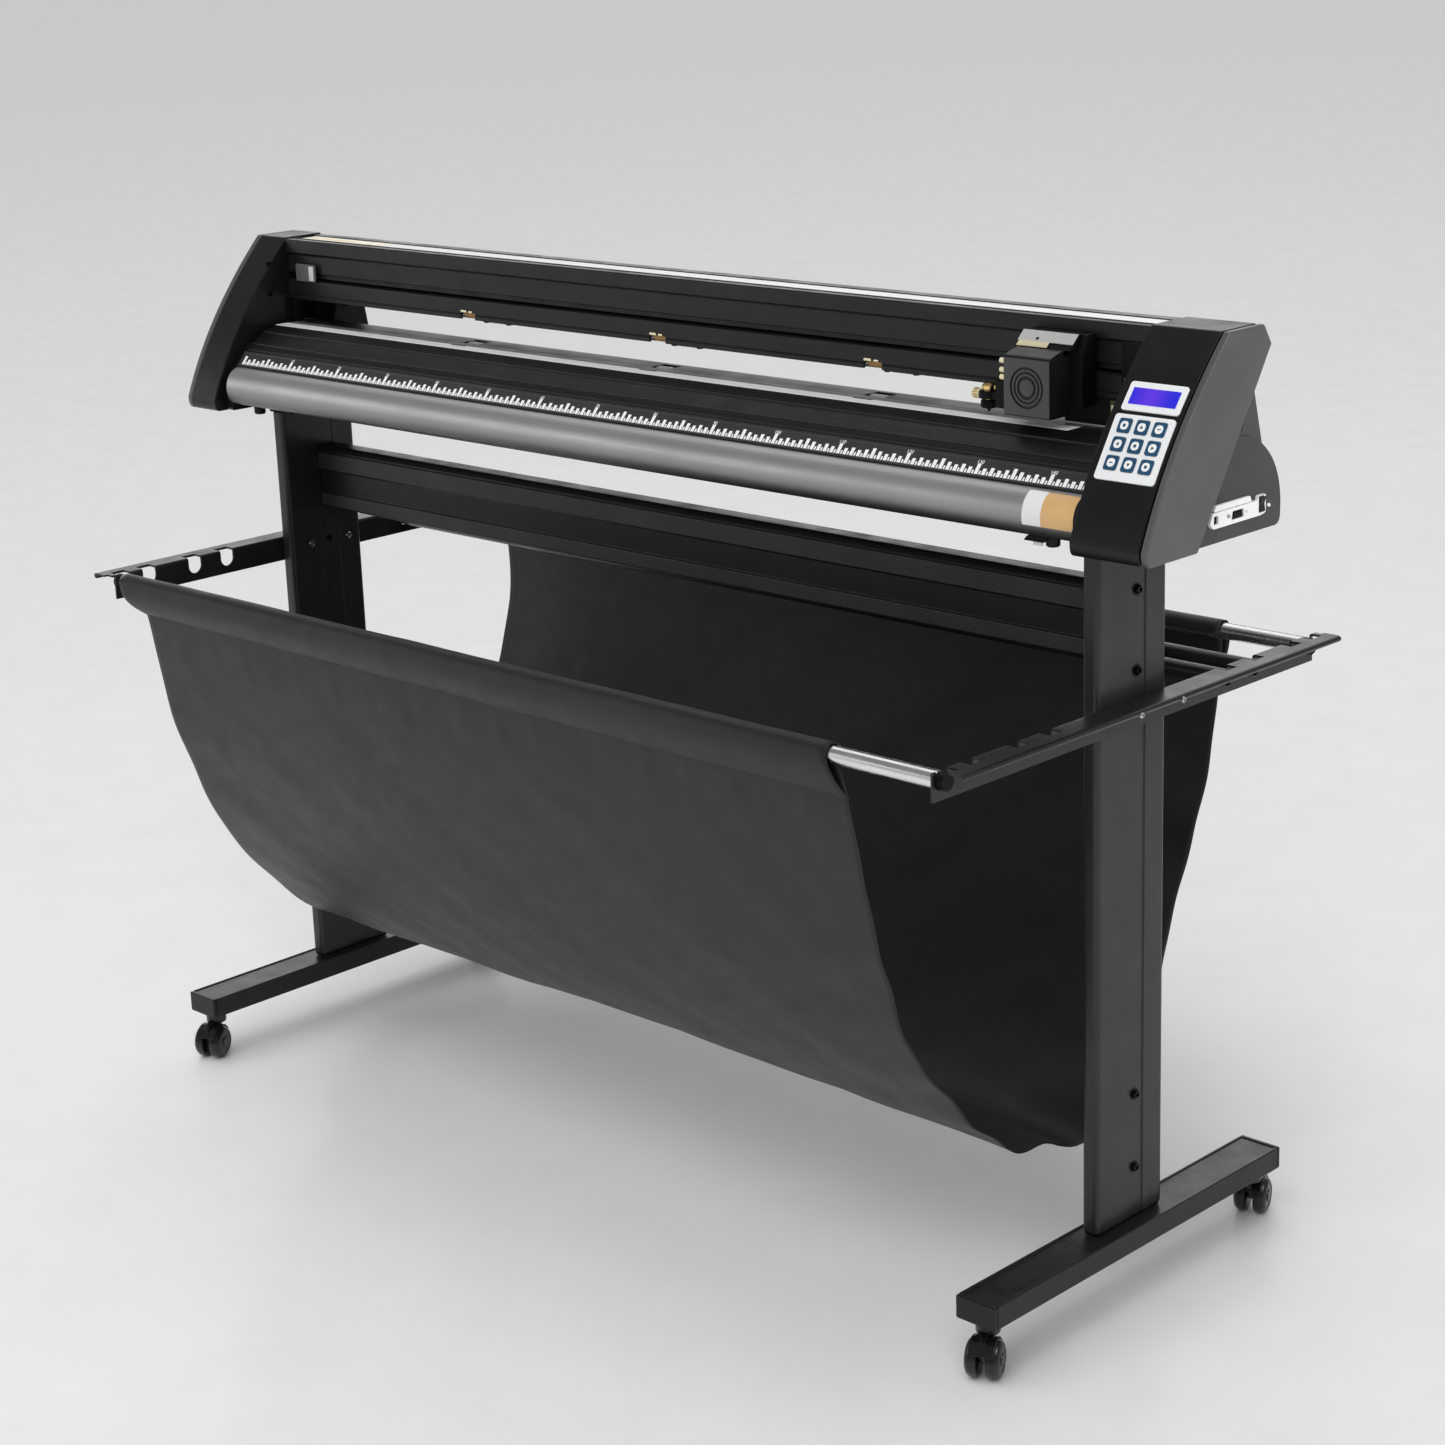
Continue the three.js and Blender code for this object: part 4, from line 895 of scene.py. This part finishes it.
piece("holder_barrel", holder, ["brass", "bolt"], "tool", replaces="blade_holder", slot="brass")
knurl = bmesh.new()
for spot in arc((cx, cy), 8.5, 0, 345, 23):
    rod("z", 0.75, (1014.6, 1021.6), spot, knurl, 8)
piece("holder_knurl", knurl, "bolt", "tool")
KNOB_Z = 1028
knob = lathe([(0, 493), (4.6, 493), (5.5, 494), (5.5, 501), (4.8, 502), (2.5, 502.2), (2.5, 507.4),
              (0, 507.4)], "x", (cy, KNOB_Z), None, 32)
for spot in arc((cy, KNOB_Z), 5.4, 0, 337.5, 15):
    rod("x", 0.6, (494.2, 501), spot, knob, 8, 1)
piece("knob_brass", knob, ["cream", "brass"], "knob", replaces="clamp_knob", slot="brass")

# Fixed parts beside the carriage's home position.
home = block((606, 719), (14.6, 17), (1005.6, 1035.8))
block((684, 719), (12.8, 14), (1038, 1100), home)
for z in (1054, 1062):
    block((706.5, 719), (-14, 12), (z, z + 3.5), home, 1)
piece("home_guard", home, ["dark", "shell_side"], bevel=0.5, segments=2)
wiring = block((668, 690), (13.4, 14.5), (1009, 1034))
for k in range(4):
    x = 670 + 5 * k
    block((x, x + 3), (12.8, 13.4), (1013 + 3 * (k % 2), 1029 - 4 * (k % 3)), wiring, 1 + k % 2)
piece("home_board", wiring, ["board", "cream", "bolt"], bevel=0.3, segments=2)

# ---- controls

LCD, PAD = on_front(0.68, 768.5), on_front(0.45, 768)
bezel = front_plate(LCD, (73, 34), (-1, 1.9), 4)
piece("display_bezel", bezel, "white", bevel=0.7, replaces="display", slot="white")
glass = front_plate(LCD, (60, 19.5), (1.7, 2.3), 1)
piece("display_glass", glass, "screen", bevel=0.2, segments=2)
panel = front_plate(PAD, (76, 74), (-1, 1.6), 4.5)
KEY_SPOTS = [((k % 3 - 1) * 22, 24 - (k // 3) * 21) for k in range(9)]
for spot in KEY_SPOTS:
    panel = carve(panel, front_plate(PAD, (16.8, 16.8), (0.3, 3.0), 3.2, middle=spot))
piece("keypad_panel", panel, "white", bevel=0.5, replaces="keypad", slot="white")

# Each key is a thin cap with a white disc, and on it an arrow, a square or a bar.
SIGNS = {
    "square": [(-1.7, -1.7), (1.7, -1.7), (1.7, 1.7), (-1.7, 1.7)],
    "bar": [(-2.2, -0.6), (2.2, -0.6), (2.2, 0.6), (-2.2, 0.6)],
    "up": [(-2.2, -1.4), (2.2, -1.4), (0, 2.2)],
    "left": [(1.4, -2.2), (-2.2, 0), (1.4, 2.2)],
    "right": [(-1.4, -2.2), (2.2, 0), (-1.4, 2.2)],
    "down": [(-2.2, 1.4), (2.2, 1.4), (0, -2.2)],
}
KEYS = ("square", "up", "bar", "left", "square", "right", "bar", "down", "square")
for k, spot in enumerate(KEY_SPOTS):
    cap = front_plate(PAD, (16, 16), (1.4, 2.4), 3, middle=spot)
    front_plate(PAD, (9.6, 9.6), (2.3, 2.6), 4.8, cap, 1, spot)
    sign = prism([(u + spot[0], v + spot[1]) for u, v in SIGNS[KEYS[k]]], (2.55, 2.75), "z", None, 2)
    sign.transform(PAD)
    merge(cap, sign)
    piece(f"key_cap_{k + 1}", cap, ["key", "ink", "key"], f"button_{k + 1}", bevel=0.35, segments=2,
          replaces=f"key_{k + 1}", slot="key")

# Port panel on the right rear cover.
PORT_X = (801.5, 808)  # from behind the plate's face to clear of it
face = fillet([(6, 917), (11, 927.5), (93.5, 927.5), (95, 932.5), (108.5, 932.5), (108.5, 912), (98, 910.5),
               (12, 910.5)], [2, 2, 1, 2, 3, 3, 2, 2], 4)
ports = prism(face, (800.2, 804.2))
prism(fillet([(14, 928.4), (17, 934.8), (80, 934.8), (83, 928.4)], 1.2, 4), (800.2, 803.6), "x", ports)
holes = rod("x", 2.6, PORT_X, (39, 920), None, 32)
prism(rounded((13, 21), (915, 924), 1.2), PORT_X, "x", holes)
prism(fillet([(45, 914.5), (69, 914.5), (67, 924), (47, 924)], 1.5), PORT_X, "x", holes)
block((800, 808), (95.4, 105.6), (913.6, 931.4), holes)
ports = carve(ports, holes)
piece("port_plate", ports, "port", bevel=0.4, segments=2, replaces="port_panel", slot="white")
insides = block((800.3, 801.8), (13, 94), (913, 926))
block((801.5, 803.2), (15, 19), (917, 922), insides)
block((801.5, 803.2), (50, 64), (917, 921.5), insides)
for k in range(2):
    rod("x", 1.6, (803, 805.4), (42 + 30 * k, 919.5), insides, 16, 1)
rod("x", 2.0, (803.8, 806.6), (112.5, 919.5), insides, 20, 2)
piece("port_insides", insides, ["dark", "zinc", "ink"], bevel=0.2, segments=1)
outline = [(801.5, 914.5), (806.2, 914.5), (804.9, 922.5), (807.6, 930.5), (801.5, 930.5)]
rocker = prism(fillet(outline, 0.8, 3), (96, 105), "y")
piece("rocker_cap", rocker, "rubber", "rocker", bevel=0.4, segments=2, replaces="power_switch", slot="rubber")

# Latch under the bed's right end.
latch = prism(fillet([(640, 899), (668, 899), (674, 905.5), (646, 905.5)], 2), (-101, -96), "y")
block((652, 664), (-99.5, -97.5), (895, 899.5), latch, 1)
piece("bed_latch", latch, ["dark", "zinc"], bevel=0.5, segments=2)

# ---- fabric basket

DROP = 552  # from the tubes to the bottom of the cloth
POWER = 2 / 1.77  # how full the cloth hangs: at 1 its section would be half an ellipse
FINE = 2000  # steps that the section's length is measured in


def hang(t):
    """Section of the hanging cloth: (y, z) at t from 0, the front tube, to 1, the rear tube."""
    c, s = math.cos(math.pi * t), math.sin(math.pi * t)
    return Vector((-TUBE_Y * math.copysign(abs(c) ** POWER, c), TUBE_Z - DROP * abs(s) ** POWER))


def even_section(count):
    """Points along the section at equal lengths, with the length from the front tube."""
    fine = [hang(k / FINE) for k in range(FINE + 1)]
    run = [0.0]
    for a, b in zip(fine, fine[1:]):
        run.append(run[-1] + (b - a).length)
    made, k = [], 0
    for i in range(count + 1):
        want = run[-1] * i / count
        while k < FINE - 1 and run[k + 1] < want:
            k += 1
        f = (want - run[k]) / max(1e-9, run[k + 1] - run[k])
        made.append((fine[k].lerp(fine[k + 1], f), want))
    return made, run[-1]


def wave(a, seed):
    """A smooth repeatable wobble between -1 and 1."""
    parts = ((1, 1, 1), (0.6, 2.3, 1.7), (0.35, 4.1, 2.9))
    return sum(height * math.sin(a * pace + seed * start) for height, pace, start in parts) / 1.95


def skin(bm, grid):
    """Quads over a grid of (vertex, u, v), with the two lengths as its UV map, in metres."""
    layer = bm.loops.layers.uv.new("UVMap")
    for one, two in zip(grid, grid[1:]):
        for corners in zip(one, one[1:], two[1:], two):
            face = bm.faces.new([corner[0] for corner in corners])
            for loop, corner in zip(face.loops, corners):
                loop[layer].uv = corner[1:]


def cloth_piece(name, bm, thickness, **settings):
    """A piece of the basket's cloth, with a thickness in millimetres."""
    cloth = piece(name, bm, "fabric", slot="fabric", angle=180, **settings)
    solid = cloth.modifiers.new("thickness", "SOLIDIFY")
    solid.thickness = thickness * MM
    solid.offset = 0
    return cloth


ROWS, COLS = 190, 170
section, LENGTH = even_section(ROWS)
sheet = bmesh.new()
grid = []
for i, (p, run) in enumerate(section):
    f = run / LENGTH
    before, after = section[max(0, i - 1)][0], section[min(ROWS, i + 1)][0]
    along = (after - before).normalized()
    normal = Vector((along.y, -along.x))
    hem = math.exp(-min(run, LENGTH - run) / 60)
    # The cut's edges wander: it is widest at the left of the hems, and at the right under the rear half.
    left = -667 - 38 * math.exp(-run / 16) - 36 * math.exp(-(LENGTH - run) / 60)
    left += 5 * wave(run / 95, 1.0) * (1 - hem)
    right = 588 - 21 * math.exp(-run / 30) + 7 * wave(run / 120, 2.0) * (1 - hem) + 10 * f
    right += 38 * math.exp(-((f - 0.6) / 0.08) ** 2)
    row = []
    for j in range(COLS + 1):
        g = j / COLS
        x = left + (right - left) * g
        free = (1 - hem) * math.sin(math.pi * min(1, f)) ** 0.5
        ripple = 9 * math.exp(-(right - x) / 160) * wave(run / 62 + x / 260, 0.4)
        ripple += 6 * math.exp(-(x - left) / 140) * wave(run / 75 - x / 300, 2.2)
        slack = 3.5 * wave(x / 210 + run / 160, 0.9) + 1.8 * wave(x / 85 - run / 70, 1.9)
        tuck = 1.1 * math.exp(-((run - 70) / 26) ** 2) * wave(x / 23, 3.1)
        bottom = math.exp(-((f - 0.5) / 0.08) ** 2)
        lobes = 8 * math.exp(-(right - x) / 100) * bottom * math.sin(run / 19 + 0.6)
        q = p + normal * ((ripple + slack) * free + tuck + lobes)
        row.append((sheet.verts.new(Vector((x, q.x, q.y)) * MM), x * MM, run * MM))
    grid.append(row)
skin(sheet, grid)
cloth = cloth_piece("basket_cloth", sheet, 1.2, replaces="basket_fabric")


def at_run(side, run):
    """The cloth's section a given length below the tube on one side."""
    row = run / LENGTH * ROWS
    k = int(row)
    p = section[k][0].lerp(section[k + 1][0], row - k)
    return Vector((side * abs(p.x), p.y))


HEM_RUN = (37.0, 46.0)  # from the tube down to the seam, at the left and at the right end
HEM_LEFT, SEAM_LENGTH = -704, 1290


def at_seam(side, g, above=0):
    """A point of the cloth on the seam, at g from its left end, 0, to its right end, 1."""
    return at_run(side, HEM_RUN[0] + (HEM_RUN[1] - HEM_RUN[0]) * g - above)


def hem_loop(side, right_end):
    """The pocket round a tube: over the tube, then out and down to its seam on the cloth."""
    bm = bmesh.new()
    rows, cols, wrap, r = 48, 150, 0.5, 12.2
    centre = Vector((side * TUBE_Y, TUBE_Z))
    made = []
    for j in range(cols + 1):
        g = j / cols
        end = at_seam(side, g) + Vector((side * 2.0, 0))
        start = centre + Vector((side * r, 0))
        pull = start + Vector((side * 3.5, -22))
        column = []
        for i in range(rows + 1):
            f = i / rows
            slant = max(0.0, (f - wrap) / (1 - wrap))
            if f < wrap:
                a = math.pi * 1.05 * (1 - f / wrap)
                y, z = centre + Vector((side * r * math.cos(a), r * math.sin(a)))
            else:
                y, z = start * (1 - slant) ** 2 + pull * 2 * slant * (1 - slant) + end * slant ** 2
            x_left = HEM_LEFT + 36 * slant ** 2 if side < 0 else HEM_LEFT
            x_right = right_end + (20 * slant if side < 0 else 0)
            x = x_left + (x_right - x_left) * g
            puff = 0.5 * wave(x / 34 + f * 5, 1.3) + 0.7 * wave(x / 120, 0.2)
            y += side * puff * (0.4 + slant)
            z += 0.4 * wave(x / 60 + f * 3, 2.6)
            column.append((bm.verts.new(Vector((x, y, z)) * MM), x * MM, f * 0.09))
        made.append(column)
    skin(bm, list(zip(*made)))
    bmesh.ops.recalc_face_normals(bm, faces=bm.faces)
    return bm


hems = [cloth_piece(f"basket_hem_{word}", hem_loop(side, right_end), 1.3)
        for word, side, right_end in (("front", -1, 567), ("rear", 1, 600))]

STITCH, STITCH_PITCH, HALF = 3.0, 4.6, 0.35
stitches = bmesh.new()
for side in (-1, 1):
    x = -662
    while x < 584:
        y, z = at_seam(side, (x - HEM_LEFT) / SEAM_LENGTH, 4) + Vector((side * 3.6, 0))
        block((x, x + STITCH), (y - HALF, y + HALF), (z - HALF, z + HALF), stitches)
        x += STITCH_PITCH
thread = piece("basket_stitches", stitches, "thread")

# ---- room and light

FLOOR = 60  # metres from the middle to an edge
floor = bmesh.new()
for x, y in ((-1, -1), (1, -1), (1, 1), (-1, 1)):
    floor.verts.new((x * FLOOR, y * FLOOR, -0.5 * MM))
floor.faces.new(floor.verts)
ground = add_object("floor", mesh_of("floor", floor))
ground.data.materials.append(surface("pale_floor", (0.8, 0.8, 0.79), 0.2, grain=20, bump=0.0, vary=0.02,
                              rough_vary=0.02, spec=0.12))
floor_only, all_but_floor = (bpy.data.collections.new(name) for name in ("floor_only", "all_but_floor"))
for group in (floor_only, all_but_floor):
    group.objects.link(ground)
all_but_floor.collection_objects[0].light_linking.link_state = "EXCLUDE"


def add_lamp(lamp, at, towards, energy, glossy=True, lights=None):
    """Hangs a lamp that the camera doesn't see. towards points from what it lights to the lamp."""
    lamp.energy = energy
    holder = add_object(lamp.name, lamp)
    holder.location = at
    holder.rotation_euler = Vector(towards).to_track_quat("Z", "Y").to_euler()
    holder.visible_camera = False
    holder.visible_glossy = glossy
    holder.light_linking.receiver_collection = lights


# Broad suns: two on everything, and one that keeps the floor pale.
for name, towards, energy, glossy, lights in (
        ("sky", (-0.4, 0.5, 0.77), 0.65, True, None), ("fill", (0.35, -0.65, 0.7), 1.7, False, None),
        ("wash", (-0.3, -0.2, 0.9), 1.1, False, floor_only)):
    sun = bpy.data.lights.new(name, "SUN")
    sun.angle = math.radians(60)
    add_lamp(sun, (0, 0, 4), towards, energy, glossy, lights)

# Softboxes light only the object: on the floor each would draw the edge of its own plane.
for name, at, aim, size, power, tint in (
        ("window", (-4.6, 4.6, 1.9), (0, 0, 0.8), (13.0, 3.4), 150, (1, 0.99, 0.97)),
        ("side", (3.0, 0.6, 2.4), (0.7, 0, 0.8), (1.5, 1.5), 30, (1, 1, 1)),
        ("front", (-3.4, -2.9, 1.7), (0, 0, 0.95), (2.6, 1.6), 16, (1, 1, 1))):
    softbox = bpy.data.lights.new(name, "AREA")
    softbox.shape = "RECTANGLE"
    softbox.size, softbox.size_y = size
    softbox.color = tint
    add_lamp(softbox, at, Vector(at) - Vector(aim), power, lights=all_but_floor)
world = bpy.data.worlds.new("studio")
world.use_nodes = True
colour, strength = world.node_tree.nodes["Background"].inputs[:2]
colour.default_value = (0.62, 0.62, 0.61, 1)
strength.default_value = 0.36
scene.world = world
scene.view_settings.view_transform = "Standard"
